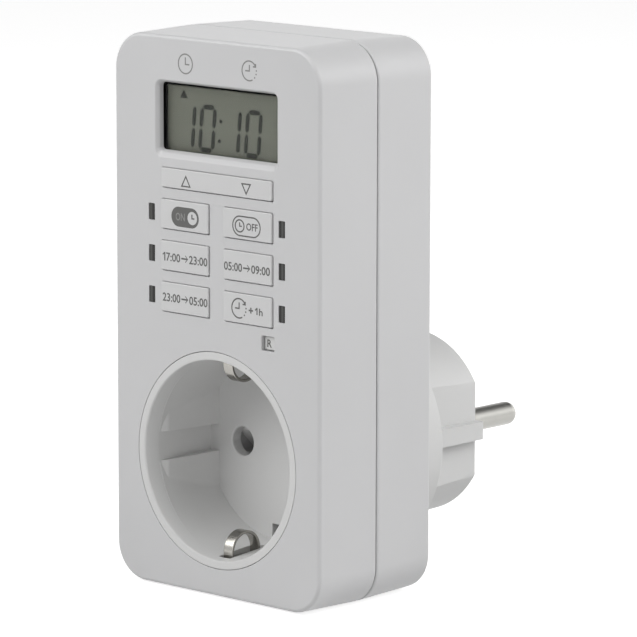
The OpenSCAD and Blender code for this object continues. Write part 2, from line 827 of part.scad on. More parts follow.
module live_busbar() pin_bar(-hole_x);
module neutral_busbar() pin_bar(hole_x);

module switched_busbar() {
  color(copper) block(switched_x[0], switched_x[1], bar_front, bar_back, -bar_w / 2, bar_end);
}

// ---------- keys ----------

// A key cap with its flange behind the wall and a stem down to the mat
module key(x, z, w = key_w, h = key_h, front = -key_rise, r = stem_r) {
  block(x - w / 2, x + w / 2, front, key_seat + skin, z - h / 2, z + h / 2);
  block(x - w / 2 - key_flange, x + w / 2 + key_flange, key_seat, key_seat + key_flange_t,
    z - h / 2 - key_flange, z + h / 2 + key_flange);
  rod(r, key_seat, stem_end, x, z);
}

module key_on() color(plastic) key(-key_x, key_z(0));
module key_off() color(plastic) key(key_x, key_z(0));
module key_evening() color(plastic) key(-key_x, key_z(1));
module key_morning() color(plastic) key(key_x, key_z(1));
module key_night() color(plastic) key(-key_x, key_z(2));
module key_countdown() color(plastic) key(key_x, key_z(2));

module key_reset() {
  color(pale) key(reset_x, reset_z, reset_w - 2 * key_gap, reset_h - 2 * key_gap, reset_sink, 1);
}

module rocker_key() {
  color(plastic) {
    block(-rocker_w / 2, rocker_w / 2, -key_rise, rocker_back, rocker_z - rocker_h / 2,
      rocker_z + rocker_h / 2);
    block(-rocker_web[0], rocker_web[0], rocker_back - skin, rocker_web[1], rocker_z - rocker_h / 2,
      rocker_z + rocker_h / 2);
    translate([0, front_y + rocker_axis, rocker_z - rocker_face_z - rocker_lug + 0.1])
      cylinder(r = rocker_pin_r, h = 2 * (rocker_face_z + rocker_lug - 0.1));
    for (sx = [-1, 1]) rod(stem_r, rocker_back - skin, stem_end, sx * rocker_stem_x, rocker_z);
  }
}

// Every place where the mat is pressed: x, z and the dome's radius
function press_points() = concat(
  [for (row = [0:2], sx = [-1, 1]) [sx * key_x, key_z(row), dome_r]],
  [for (sx = [-1, 1]) [sx * rocker_stem_x, rocker_z, dome_r - 0.5]],
  [[reset_x, reset_z, small_dome_r]]);

// The mat's flat sheet, clear of the earth strap at its lower edge
module mat_sheet() {
  difference() {
    block(-mat_w / 2, mat_w / 2, mat_back - mat_t, mat_back - fit_gap, board_low,
      rocker_z + dome_r);
    block(-notch_half, notch_half, mat_back - mat_t - 1, mat_back + 1, board_low - 1, notch_top);
  }
}

module keypad_mat() {
  color("#4a4d50") difference() {
    union() {
      mat_sheet();
      for (p = press_points())
        taper(p[2] - 0.6, p[2], mat_top, mat_back - mat_t + skin, p[0], p[1]);
    }
    for (p = press_points()) rod(p[2] - 0.9, hollow_front, mat_back + 1, p[0], p[1]);
  }
}

module carbon_pills() {
  color(black) for (p = press_points())
    rod(p[2] - 1.1, hollow_front, hollow_front + pill_t, p[0], p[1]);
}

module indicator_lenses() {
  end = board_depth - led_t - 0.1;
  color("#2e2d2b") for (row = [0:2], sx = [-1, 1]) {
    block(sx * slot_x - slot_w / 2 + lens_gap, sx * slot_x + slot_w / 2 - lens_gap, lens_sink, end,
      key_z(row) - slot_h / 2 + lens_gap, key_z(row) + slot_h / 2 - lens_gap);
    block(sx * slot_x - slot_w / 2 - 0.3, sx * slot_x + slot_w / 2 + 0.3, front_wall + lens_gap,
      front_wall + 0.9, key_z(row) - slot_h / 2 - 0.5, key_z(row) + slot_h / 2 + 0.5);
  }
}

module indicator_leds() {
  color("#f4f0d8") for (row = [0:2], sx = [-1, 1])
    block(sx * slot_x - 0.6, sx * slot_x + 0.6, board_depth - led_t, board_depth,
      key_z(row) - 1, key_z(row) + 1);
}

// ---------- display ----------

module display_window() {
  color("#e8eef0", 0.35) slab(window_front, window_front + window_t) translate([0, window_z])
    square([window_w + 2 * window_lap, window_h + 2 * window_lap], center = true);
}

module lcd_glass() {
  color("#60615a") slab(lcd_front, lcd_front + lcd_t) translate([0, window_z])
    square([lcd_w, lcd_h], center = true);
}

module lcd_frame() {
  color(black) difference() {
    slab(frame_front, board_depth) translate([0, window_z])
      square([lcd_w + 2 * frame_wall, frame_h], center = true);
    slab(lcd_front, board_depth + 1) translate([0, window_z])
      square([lcd_w + 2 * seat_gap, lcd_h + 2 * seat_gap], center = true);
    slab(frame_front - 1, board_depth) translate([0, window_z])
      square([window_w + 1.4, window_h + 1], center = true);
  }
}

module lcd_connectors() {
  color("#d98ba0") for (s = [-1, 1])
    slab(lcd_front + lcd_t, board_depth) translate([0, window_z + s * (lcd_h / 2 - strip_h / 2)])
      square([window_w + 1, strip_h], center = true);
}

// ---------- control board ----------

module control_board() {
  color(green) difference() {
    union() {
      block(-board_half, board_half, board_depth, board_back, board_low, board_step);
      block(-board_top_half, board_top_half, board_depth, board_back, board_step - 1, board_top);
    }
    block(-notch_half, notch_half, board_depth - 1, board_back + 1, board_low - 1, notch_top);
    at_corners(post_x, post_low, post_high) rod(small_screw_r + 0.25, board_depth - 1, board_back + 1);
    link_holes(board_depth, board_back);
  }
}

module link_holes(d0, d1) {
  for (i = [0:link_pins - 1]) rod(link_pin * 0.75, d0 - 1, d1 + 1, link_x, link_low + i * link_pitch);
}

module board_screws() {
  color(steel) at_corners(post_x, post_low, post_high)
    screw(board_back, board_back - front_wall - small_bite, small_screw_r, small_head_r, small_head_t);
}

module microcontroller() {
  color(black) block(chip_at[0] - 5, chip_at[0] + 5, board_back, board_back + 1.5,
    chip_at[1] - 5, chip_at[1] + 5);
  color(steel) for (i = [0:7], s = [-1, 1])
    block(chip_at[0] + s * 5.7 - 0.75, chip_at[0] + s * 5.7 + 0.75, board_back, board_back + 0.3,
      chip_at[1] - 3.7 + i, chip_at[1] - 3.3 + i);
}

module crystal() {
  color(steel) translate([crystal_at[0], front_y + board_back + 1, crystal_at[1]]) cylinder(r = 1, h = 6);
}

module backup_battery() {
  color(steel)
    rod(battery_d / 2, board_back + tab_t, board_back + tab_t + battery_t, battery_at[0], battery_at[1]);
}

module battery_tabs() {
  x = battery_at[0];
  z = battery_at[1];
  top = board_back + tab_t + battery_t;
  out = x + battery_d / 2 + 0.6;
  color(nickel) {
    block(x - 2, x + 2, board_back, board_back + tab_t, z - battery_d / 2 - 1.5, z + battery_d / 2 - 2);
    block(x, out + tab_t, top, top + tab_t, z - 2, z + 2);
    block(out, out + tab_t, board_back, top + tab_t, z - 2, z + 2);
  }
}

module board_link() {
  last = link_low + (link_pins - 1) * link_pitch;
  half = link_pitch / 2;
  color(black)
    block(link_x - 1.25, link_x + 1.25, board_back, board_back + 2.5, link_low - half, last + half);
  color(steel) for (i = [0:link_pins - 1]) block(link_x - link_pin / 2, link_x + link_pin / 2,
    board_depth - 0.4, bar_front + 0.4, link_low + i * link_pitch - link_pin / 2,
    link_low + i * link_pitch + link_pin / 2);
}

// ---------- power board ----------

module power_board() {
  color(green) difference() {
    union() {
      block(-board_half, board_half, power_front, bar_front, power_low, board_step);
      block(-board_top_half, board_top_half, power_front, bar_front, board_step - 1, board_top);
    }
    at_corners(power_post_x, power_post_low, power_post_high)
      rod(small_screw_r + 0.25, power_front - 1, bar_front + 1);
    link_holes(power_front, bar_front);
  }
}

module power_screws() {
  color(steel) at_corners(power_post_x, power_post_low, power_post_high)
    screw(power_front, rear_in + wall - 1 - power_front, small_screw_r, small_head_r, small_head_t,
      head_back = false);
}

module relay_base() {
  color(black) block(relay_box[0][0] + relay_wall + fit_gap, relay_box[1][0] - relay_wall - fit_gap,
    power_front - relay_base_t, power_front, relay_box[0][1] + relay_wall + fit_gap,
    relay_box[1][1] - relay_wall - fit_gap);
}

module relay_case() {
  color("#e9e9e4") difference() {
    block(relay_box[0][0], relay_box[1][0], relay_front, power_front, relay_box[0][1], relay_box[1][1]);
    block(relay_box[0][0] + relay_wall, relay_box[1][0] - relay_wall, relay_front + relay_wall,
      power_front + 1, relay_box[0][1] + relay_wall, relay_box[1][1] - relay_wall);
  }
}

// A round bar along x, inside the relay
module relay_rod(r, x0, x1) {
  translate([x0, front_y + coil_depth, relay_mid_z]) rotate([0, 90, 0]) cylinder(r = r, h = x1 - x0);
}

module relay_coil() {
  first = yoke_x + yoke_t + 1;
  last = core_end - 1.6;
  color(copper) relay_rod(coil_r - 0.5, first + spool_t / 2, last + spool_t / 2);
  color(steel) relay_rod(core_r, yoke_x + yoke_t, core_end);
  color(black) for (x = [first, last]) relay_rod(coil_r + 0.4, x, x + spool_t);
}

module relay_yoke() {
  low = relay_mid_z - yoke_half;
  high = relay_mid_z + yoke_half;
  color(steel) {
    block(yoke_x, yoke_x + yoke_t, relay_front + 1.4, power_front - relay_base_t, low, high);
    block(yoke_x, hinge_x - 0.9, relay_front + 1.4, relay_front + 1.4 + yoke_t, low, high);
  }
}

module relay_armature() {
  low = relay_mid_z - armature_h / 2;
  high = relay_mid_z + armature_h / 2;
  color("#98999a") {
    block(hinge_x - 0.2, hinge_x - 0.2 + armature_t, hinge_depth, hinge_depth + armature_len, low, high);
    block(hinge_x - 0.2, arm_reach + 1.4, hinge_depth - 0.4, hinge_depth + 0.4, low + 2, high - 2);
    translate([0, front_y + hinge_depth, low]) translate([hinge_x, 0, 0]) cylinder(r = 0.5, h = armature_h);
    rod(button_r, hinge_depth + 0.4 - skin, hinge_depth + 1.5, arm_reach, relay_mid_z);
  }
}

module relay_contacts() {
  gap_at_rest = 0.7;
  fixed = hinge_depth + 1.5 + gap_at_rest;
  color(copper) {
    rod(button_r, fixed, fixed + 0.6 + skin, arm_reach, relay_mid_z);
    block(arm_reach - 1.5, arm_reach + 2.2, fixed + 0.6, fixed + 1, relay_mid_z - 1.5, relay_mid_z + 1.5);
    block(arm_reach + 1.8, arm_reach + 2.2, fixed + 0.6, power_front - relay_base_t,
      relay_mid_z - 1.5, relay_mid_z + 1.5);
  }
}

module suppression_capacitor() {
  color("#d8b23a") block(film_box[0][0], film_box[1][0], power_front - film_h, power_front,
    film_box[0][1], film_box[1][1]);
}

module smoothing_capacitor() {
  color("#20263a") turned([[0, power_front - can_h], [can_r - 0.5, power_front - can_h],
    [can_r, power_front - can_h + 0.5], [can_r, power_front - 1.8], [can_r - 0.4, power_front - 1.5],
    [can_r, power_front - 1.2], [can_r, power_front], [0, power_front]], can_at[0], can_at[1]);
}

module varistor() {
  color("#2c5f9e") translate([disc_at[0] - disc_t / 2, front_y + power_front - disc_r - 2, disc_at[1]])
    rotate([0, 90, 0]) cylinder(r = disc_r, h = disc_t);
  color(steel) for (s = [-1, 1])
    block(disc_at[0] - 0.3, disc_at[0] + 0.3, power_front - 4, power_front, disc_at[1] + s * 2 - 0.3,
      disc_at[1] + s * 2 + 0.3);
}

// A leaded part lying on the power board, its body along x
module axial(x, z, r, len, lead) {
  translate([x - len / 2, front_y + power_front - r, z]) rotate([0, 90, 0]) cylinder(r = r, h = len);
  translate([x - len / 2 - lead, front_y + power_front - r, z]) rotate([0, 90, 0])
    cylinder(r = 0.35, h = len + 2 * lead);
  for (s = [-1, 1]) rod(0.35, power_front - r, power_front, x + s * (len / 2 + lead - 0.35), z);
}

module fuse_resistor() color("#7fa77a") axial(fuse_at[0], fuse_at[1], 1.8, 9, 2);

module bridge_diodes() {
  color(black) for (x = diode_x) translate([x, 0, diode_z]) rotate([0, 90, 0]) axial(0, 0, 1.3, 5, 1.6);
}

front_cover();
rear_cover();
housing_screws();
socket_cup();
plug_body();
core_screws();
display_window();
indicator_lenses();
rocker_key();
key_on();
key_off();
key_evening();
key_morning();
key_night();
key_countdown();
key_reset();
lcd_glass();
lcd_frame();
lcd_connectors();
control_board();
board_screws();
microcontroller();
crystal();
indicator_leds();
keypad_mat();
carbon_pills();
backup_battery();
battery_tabs();
board_link();
contact_shutter();
shutter_spring();
contact_carrier();
live_contact();
neutral_contact();
earth_clip_upper();
earth_clip_lower();
earth_strap();
plug_earth_strips();
live_pin();
neutral_pin();
live_busbar();
switched_busbar();
neutral_busbar();
power_board();
power_screws();
relay_base();
relay_case();
relay_coil();
relay_yoke();
relay_armature();
relay_contacts();
suppression_capacitor();
smoothing_capacitor();
varistor();
fuse_resistor();
bridge_diodes();
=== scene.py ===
import math
import bmesh
import bpy
import numpy as np
from mathutils import Matrix, Vector
from mathutils.geometry import delaunay_2d_cdt


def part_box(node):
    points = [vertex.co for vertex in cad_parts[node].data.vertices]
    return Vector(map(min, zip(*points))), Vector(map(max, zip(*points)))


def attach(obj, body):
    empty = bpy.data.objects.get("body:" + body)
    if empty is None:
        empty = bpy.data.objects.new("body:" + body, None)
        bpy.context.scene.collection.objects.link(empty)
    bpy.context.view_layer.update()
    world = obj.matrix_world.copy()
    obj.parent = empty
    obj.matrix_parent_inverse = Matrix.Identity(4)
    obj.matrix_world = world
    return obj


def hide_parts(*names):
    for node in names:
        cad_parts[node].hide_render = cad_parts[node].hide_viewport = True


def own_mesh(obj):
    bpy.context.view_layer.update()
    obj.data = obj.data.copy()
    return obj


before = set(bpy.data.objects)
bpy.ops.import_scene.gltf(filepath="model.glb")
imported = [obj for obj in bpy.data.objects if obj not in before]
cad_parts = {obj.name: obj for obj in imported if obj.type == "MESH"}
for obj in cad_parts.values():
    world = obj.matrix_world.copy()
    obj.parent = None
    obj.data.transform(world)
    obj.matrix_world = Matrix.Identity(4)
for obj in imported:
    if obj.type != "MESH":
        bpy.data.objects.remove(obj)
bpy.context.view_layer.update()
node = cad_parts


# ---------- camera, floor and light ----------
# The timer stands on its bottom edge on a plain white table in a soft light tent.
# The camera has a long lens, so that upright edges stay nearly parallel.
camera_at = Vector((0.6267, -0.7044, 0.1825))
camera_turn, camera_dip, camera_roll = math.radians(42.9), math.radians(9.72), math.radians(0.097)
lens_in_frame_widths = 7.247

level = math.cos(camera_dip)
look = Vector((-math.sin(camera_turn) * level, math.cos(camera_turn) * level, -math.sin(camera_dip)))
camera = bpy.data.objects.new("camera", bpy.data.cameras.new("camera"))
bpy.context.collection.objects.link(camera)
camera.data.sensor_width = 36
camera.data.lens = 36 * lens_in_frame_widths
camera.data.clip_start, camera.data.clip_end = 0.05, 20
turn = look.to_track_quat("-Z", "Y").to_matrix() @ Matrix.Rotation(camera_roll, 3, "Z")
camera.matrix_world = Matrix.Translation(camera_at) @ turn.to_4x4()
bpy.context.scene.camera = camera
bpy.context.scene.view_settings.view_transform = "Standard"


def add(tree, kind, mode=None, **inputs):
    """Adds a shader node. mode is the name and value of its way of working. An input takes a value or
    another node's output; it is named with _ for a space, or as _ and its number."""
    made = tree.nodes.new("ShaderNode" + kind)
    if mode:
        setattr(made, *mode)
    for name, given in inputs.items():
        plug = made.inputs[int(name[1:]) if name.startswith("_") else name.replace("_", " ")]
        if isinstance(given, bpy.types.NodeSocket):
            tree.links.new(given, plug)
        else:
            plug.default_value = given
    return made


def seen_directly(tree):
    """1 for rays from the camera, off a mirror or through glass, 0 for rays that only carry light: the
    largest of the three marks on the light's path."""
    path = add(tree, "LightPath")
    value = path.outputs["Is Camera Ray"]
    for way in ("Is Glossy Ray", "Is Transmission Ray"):
        value = add(tree, "Math", ("operation", "MAXIMUM"), _0=value, _1=path.outputs[way]).outputs[0]
    return value


# Light from all round is dim. What a mirror, glass or the camera sees of the tent is white, up to the height
# where its roof ends and the darker room begins.
tent = bpy.data.worlds.new("tent")
bpy.context.scene.world = tent
tent.use_nodes = True
tent_tree = tent.node_tree
sky = tent_tree.nodes["Background"]
sky.inputs["Color"].default_value = (1, 1, 1, 1)
sky.inputs["Strength"].default_value = 0.16
high = add(tent_tree, "SeparateXYZ", _0=add(tent_tree, "TexCoord").outputs["Generated"])
roof = add(tent_tree, "MapRange", ("interpolation_type", "SMOOTHSTEP"), Value=high.outputs["Z"],
           From_Min=0.36, From_Max=0.56, To_Min=1.0, To_Max=0.12)
white = add(tent_tree, "Emission", Strength=roof.outputs["Result"])
tent_mix = add(tent_tree, "MixShader", _0=seen_directly(tent_tree), _1=sky.outputs[0], _2=white.outputs[0])
tent_tree.links.new(tent_mix.outputs[0], tent_tree.nodes["World Output"].inputs["Surface"])

table_half, table_z, paper_lift_by = 1.5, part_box("front_cover")[0].z, 0.8
table = bpy.data.objects.new("table", bpy.data.meshes.new("table"))
bpy.context.collection.objects.link(table)
table_corners = [(x * table_half, y * table_half, table_z) for x, y in ((-1, -1), (1, -1), (1, 1), (-1, 1))]
table.data.from_pydata(table_corners, [], [(0, 1, 2, 3)])
paper = bpy.data.materials.new("paper")
paper.use_nodes = True
paper_tree, paper_shader = paper.node_tree, paper.node_tree.nodes["Principled BSDF"]
paper_shader.inputs["Base Color"].default_value = (0.6, 0.6, 0.6, 1)
paper_shader.inputs["Roughness"].default_value = 0.9
paper_shader.inputs["Specular IOR Level"].default_value = 0.1
paper_how = add(paper_tree, "Math", ("operation", "MULTIPLY"), _0=seen_directly(paper_tree), _1=paper_lift_by)
paper_lift = add(paper_tree, "Emission", Strength=paper_how.outputs[0])
paper_sum = add(paper_tree, "AddShader", _0=paper_shader.outputs[0], _1=paper_lift.outputs[0])
paper_tree.links.new(paper_sum.outputs[0], paper_tree.nodes["Material Output"].inputs["Surface"])
table.data.materials.append(paper)


def lamp(name, at, aim, size, watts):
    """A square soft lamp at a point, facing another point."""
    light = bpy.data.lights.new(name, "AREA")
    light.size, light.energy = size, watts
    thing = bpy.data.objects.new(name, light)
    bpy.context.collection.objects.link(thing)
    way = Vector(aim) - Vector(at)
    thing.matrix_world = Matrix.Translation(at) @ way.to_track_quat("-Z", "Y").to_matrix().to_4x4()


middle = (0, -0.04, 0.03)
lamp("front_lamp", (-0.35, -0.6, 0.52), middle, 0.6, 4.8)
lamp("right_lamp", (0.72, 0.3, 0.5), middle, 0.6, 2.9)
lamp("upper_lamp", (0.5, -0.02, 0.6), middle, 0.45, 2.05)
lamp("rear_lamp", (0.25, 0.8, 0.3), middle, 0.6, 1.2)
lamp("fill_lamp", (0.55, -0.65, 0.25), middle, 0.6, 0.7)


# ---------- front cover ----------
# The front half of the housing, moulded in light grey plastic with a fine spark-eroded grain.
# Openings take the keys, the display window, the indicator lenses and the ring of the socket.
mm = 0.001
front_y = -59.8                       # the front face, in mm; depths are counted from it
body_w, body_h, body_mid, corner_r = 57.0, 112.3, 28.0, 8.0
body_depth, seam, front_wall, side_draft, edge_r = 32.5, 16.2, 2.2, 0.4, 0.8


def rounded(cx, cz, half_w, half_h, r, steps=12):
    """A rectangle with round corners, counted anticlockwise: four quarter circles, joined by its sides."""
    turns = np.radians(np.concatenate([np.linspace(q, q + 90, steps + 1) for q in (0, 90, 180, 270)]))
    side = np.repeat([[1, 1], [-1, 1], [-1, -1], [1, -1]], steps + 1, axis=0)
    centre = side * [half_w - r, half_h - r]
    return np.stack([cx + centre[:, 0] + r * np.cos(turns), cz + centre[:, 1] + r * np.sin(turns)], 1)


def circle(cx, cz, r, count=96):
    """A circle of a given count of points, anticlockwise."""
    t = np.arange(count) * 2 * math.pi / count
    return np.stack([cx + r * np.cos(t), cz + r * np.sin(t)], 1)


def at(loop, depth):
    """A flat loop of [x, z] at a depth, as points [x, depth, z]."""
    return np.stack([loop[:, 0], np.full(len(loop), float(depth)), loop[:, 1]], 1)


def rings(loops):
    """The surface between each closed loop and the next: point j of loop i is corner (i, j) of a grid."""
    loops = np.array(loops)
    m, n = loops.shape[:2]
    i, j = np.meshgrid(np.arange(m - 1), np.arange(n), indexing="ij")
    k = (j + 1) % n
    faces = np.stack([i * n + j, i * n + k, (i + 1) * n + k, (i + 1) * n + j], -1).reshape(-1, 4)
    return loops.reshape(-1, 3), faces.tolist()


def inside(points, loop):
    """Which points lie in a loop: a ray to the right crosses its sides an odd number of times."""
    a, b = loop, np.roll(loop, -1, 0)
    x, z = points[:, :1], points[:, 1:]
    spans = (a[:, 1] > z) != (b[:, 1] > z)
    rise = np.where(b[:, 1] == a[:, 1], 1e-12, b[:, 1] - a[:, 1])
    return (spans & (x < (b[:, 0] - a[:, 0]) * (z - a[:, 1]) / rise + a[:, 0])).sum(1) % 2 == 1


def plate(outer, holes, depth):
    """A flat face at a depth, bounded by a loop and pierced by others: triangles between all their
    points."""
    loops = [outer, *holes]
    points = np.concatenate(loops)
    starts = np.cumsum([0] + [len(q) for q in loops])
    sides = np.concatenate([np.stack([s + np.arange(len(q)), s + (np.arange(len(q)) + 1) % len(q)], 1)
                            for s, q in zip(starts, loops)])
    made, _, faces, *_ = delaunay_2d_cdt([Vector(p) for p in points], sides.tolist(), [], 0, 1e-7)
    flat = np.array([tuple(v) for v in made])
    faces = np.array(faces)
    middle_of = flat[faces].mean(1)
    keep = inside(middle_of, outer)
    for hole in holes:
        keep &= ~inside(middle_of, hole)
    return at(flat, depth), faces[keep].tolist()


def capped(loops):
    """The surface through a run of loops, closed by a flat face over the first and the last."""
    return [rings(loops), *[(loop, [list(range(len(loop)))]) for loop in (loops[0], loops[-1])]]


def solid(name, patches):
    """One closed mesh from patches in mm: the points that they share are merged and the faces turned
    outward."""
    points, faces, first = [], [], 0
    for verts, polygons in patches:
        points.append(verts)
        faces += [[first + c for c in f] for f in polygons]
        first += len(verts)
    place = (np.concatenate(points) + [0, front_y, 0]) * mm
    mesh = bpy.data.meshes.new(name)
    mesh.from_pydata(place.tolist(), [], faces)
    work = bmesh.new()
    work.from_mesh(mesh)
    bmesh.ops.remove_doubles(work, verts=work.verts, dist=2e-7)
    bmesh.ops.dissolve_degenerate(work, edges=work.edges, dist=1e-8)
    bmesh.ops.recalc_face_normals(work, faces=work.faces)
    if any(len(e.link_faces) != 2 for e in work.edges):
        print("open edges in", name, sum(len(e.link_faces) != 2 for e in work.edges))
    work.to_mesh(mesh)
    work.free()
    made = bpy.data.objects.new(name, mesh)
    bpy.context.collection.objects.link(made)
    return made


def combine(made, patches, operation):
    """Joins other closed solids to a piece (UNION) or takes them out of it (DIFFERENCE)."""
    for tool_patches in patches:
        tool = solid("tool", tool_patches)
        cut = made.modifiers.new("combine", "BOOLEAN")
        cut.operation, cut.solver, cut.object = operation, "EXACT", tool
        result = bpy.data.meshes.new_from_object(made.evaluated_get(bpy.context.evaluated_depsgraph_get()))
        made.modifiers.clear()
        made.data = result
        bpy.data.objects.remove(tool)


def piece(name, patches, body, finish, stands_for=(), joined=(), taken=(), sharp=32):
    """A closed piece from patches, with solids joined and taken out, shaded so that flat faces rule."""
    made = solid(name, patches)
    combine(made, joined, "UNION")
    combine(made, taken, "DIFFERENCE")
    made.data.name = name
    made.data.shade_smooth()
    made.data.set_sharp_from_angle(angle=math.radians(sharp))
    made.modifiers.new("flat_faces_rule", "WEIGHTED_NORMAL").keep_sharp = True
    made.data.materials.clear()
    made.data.materials.append(finish)
    if stands_for:
        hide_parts(*stands_for)
    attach(made, body)
    return made


def outline(inset):
    """The housing's outline, drawn in by an amount on every side."""
    return rounded(0, body_mid, body_w / 2 - inset, body_h / 2 - inset, corner_r - inset, 20)


def quarter(steps=6):
    """Pairs (in, down) of a quarter circle of radius 1, from the flat face round to the side."""
    t = np.linspace(0, math.pi / 2, steps + 1)
    return [(1 - math.sin(a), 1 - math.cos(a)) for a in t]


def socket(tree, name, kind, way="INPUT", value=None):
    """Adds a named socket to a node group."""
    made = tree.interface.new_socket(name=name, in_out=way, socket_type=kind)
    if value is not None:
        made.default_value = value
    return made


# Moulded grain: object coordinates go through a fine and a coarse noise. Fine noise is the grain of
# the mould, coarse noise the slow change of tone over a moulding.
grain_size = 3500.0
grain = bpy.data.node_groups.new("moulded_grain", "ShaderNodeTree")
socket(grain, "Grain size", "NodeSocketFloat", value=grain_size)
socket(grain, "Cloud size", "NodeSocketFloat", value=35.0)
socket(grain, "Grain", "NodeSocketFloat", "OUTPUT")
socket(grain, "Cloud", "NodeSocketFloat", "OUTPUT")
grain_in, grain_out = grain.nodes.new("NodeGroupInput"), grain.nodes.new("NodeGroupOutput")
grain_place = add(grain, "TexCoord").outputs["Object"]
for label, detail in (("Grain", 3.0), ("Cloud", 2.0)):
    noise = add(grain, "TexNoise", Vector=grain_place, Scale=grain_in.outputs[label + " size"], Detail=detail)
    grain.links.new(noise.outputs["Fac"], grain_out.inputs[label])


def finish_from(effect, given, slow, fine, name, pale, deep, rough, bump, deepest, **plain):
    """A finish from the two outputs of an effect: its colour runs from pale to deep with the slow one,
    and its gloss and relief follow the fine one. given holds the effect's values, plain the shader's."""
    mat = bpy.data.materials.new(name)
    mat.use_nodes = True
    tree, shader = mat.node_tree, mat.node_tree.nodes["Principled BSDF"]
    group = tree.nodes.new("ShaderNodeGroup")
    group.node_tree = effect
    for key, value in given.items():
        group.inputs[key].default_value = value
    tone = add(tree, "Mix", ("data_type", "RGBA"), Factor=group.outputs[slow], A=(*pale, 1), B=(*deep, 1))
    gloss = add(tree, "MapRange", Value=group.outputs[fine], To_Min=rough[0], To_Max=rough[1])
    relief = add(tree, "Bump", Strength=bump, Distance=deepest, Height=group.outputs[fine])
    tree.links.new(tone.outputs["Result"], shader.inputs["Base Color"])
    tree.links.new(gloss.outputs["Result"], shader.inputs["Roughness"])
    tree.links.new(relief.outputs["Normal"], shader.inputs["Normal"])
    for key, value in plain.items():
        shader.inputs[key.replace("_", " ")].default_value = value
    return mat


def moulded(name, pale, deep, rough=(0.42, 0.55), bump=0.12, cloud_size=35.0, **plain):
    """A moulded plastic: the cloud gives its tone, and the grain its gloss and relief."""
    return finish_from(grain, {"Grain size": grain_size, "Cloud size": cloud_size}, "Cloud", "Grain", name,
                       pale, deep, rough, bump, 0.00005, **plain)


grey_shell = moulded("grey_shell", (0.60, 0.60, 0.605), (0.565, 0.565, 0.57), rough=(0.3, 0.42))

rim_r, seat_gap, rim_tall, rim_drop = 21.65, 0.1, 1.0105, 0.22
stem_x, stem_top, key_pitch = 8.65, 47.85, 8.35
key_columns, key_w, key_h, key_up = (-8.35, 8.9), 13.15, 5.9, 0.22
rocker_x, rocker_w, rocker_h, rocker_z, rocker_mid = 0.37, 30.25, 3.9, 55.37, 55.2
window_x, window_w, window_h, window_z, bevel_depth = 0.1, 31.8, 13.5, 67.45, 1.4
reset_x, reset_z, reset_w, reset_h = 14.18, 25.12, 3.44, 3.0
slot_columns, slot_w, slot_h, slot_up = (-17.75, 17.9), 1.7, 3.35, 0.25
rows = [stem_top - row * key_pitch for row in range(3)]


def rim(loop):
    """A loop of the socket's ring: a circle made slightly taller and set a little lower."""
    return loop * [1, rim_tall] - [0, rim_drop]


def round_key(x, z, w, h, grow=0.0):
    """The outline of a key's opening: the gap is wider below and to the right, where the key's draft
    shows."""
    return rounded(x + 0.05, z - 0.05, w / 2 + 0.1 + grow, h / 2 + 0.13 + grow, 0.35 + grow, 5)


def opening(shape, edge=0.12, back=front_wall):
    """The loops of an opening's wall: a small round at the front edge, then straight back. shape(grow)
    gives the opening's outline, grown by an amount."""
    return [at(shape(edge * a), edge * b) for a, b in quarter(3)] + [at(shape(0), back)]


openings = [opening(lambda g: rim(circle(0, 0, rim_r + seat_gap + g, 128)), 0.1)]
openings += [opening(lambda g: round_key(x, row + key_up, key_w, key_h, g))
             for x in key_columns for row in rows]
openings.append(opening(lambda g: round_key(rocker_x, rocker_z, rocker_w, rocker_h, g)))
openings.append(opening(lambda g: rounded(reset_x, reset_z, reset_w / 2 + g, reset_h / 2 + g, 0.3 + g, 4)))
slots = [(x, row + slot_up) for x in slot_columns for row in rows]
openings += [opening(lambda g: rounded(x, z, slot_w / 2 + g, slot_h / 2 + g, 0.15 + g, 3), 0.08)
             for x, z in slots]


def window_loop(sides, above, below, r, depth):
    """A loop of the display pocket, larger than the clear opening by its growth at the sides, above and
    below."""
    mid_z, half_h = window_z + (above - below) / 2, (window_h + above + below) / 2
    return at(rounded(window_x, mid_z, window_w / 2 + sides, half_h, r, 8), depth)


# The pocket: a rounded lip, a long bevel down to the clear opening, and a wider seat for the window behind.
openings.append([window_loop(*grow, r, depth) for *grow, r, depth in (
    (1.0, 0.75, 1.5, 1.7, 0), (0.9, 0.62, 1.4, 1.6, 0.03), (0.78, 0.5, 1.3, 1.5, 0.1),
    (0.3, 0.22, 0.62, 1.0, 0.55), (0.14, 0.1, 0.28, 0.9, 0.78),
    (0, 0, 0, 0.8, bevel_depth), (0, 0, 0, 0.8, bevel_depth + 0.1),
    (1.3, 1.6, 1.6, 0.6, bevel_depth + 0.1), (1.3, 1.6, 1.6, 0.6, front_wall))])


def flat(loop3):
    """The [x, z] of a loop of points."""
    return loop3[:, [0, 2]]


lip_t, lip_len, lip_in, seam_half, land = 0.8, 1.5, 2.25, 0.17, 1.2
seam_lip = [(0.02, 0.7), (0.05, 0.45), (0.13, 0.28), (0.28, seam_half), (land, seam_half), (land, 0)]
front_skin = [at(outline(side_draft + edge_r * a), edge_r * b) for a, b in quarter(8)]
front_skin += [at(outline(i), seam - d) for i, d in seam_lip]
front_skin += [at(outline(i), d) for i, d in (
    (lip_in, seam), (lip_in, seam + lip_len), (lip_in + lip_t, seam + lip_len), (lip_in + lip_t, seam - 1.0),
    (2.05, seam - 2.0), (side_draft + 2.0, front_wall))]


def turned(profile, x=0.0, z=0.0, count=48):
    """A body of revolution about a line along the depth: circles of each [radius, depth], closed at both
    ends."""
    return capped([at(circle(x, z, r, count), d) for r, d in profile])


def prism(loop, d0, d1):
    """A flat outline given its thickness between two depths."""
    return capped([at(loop, d0), at(loop, d1)])


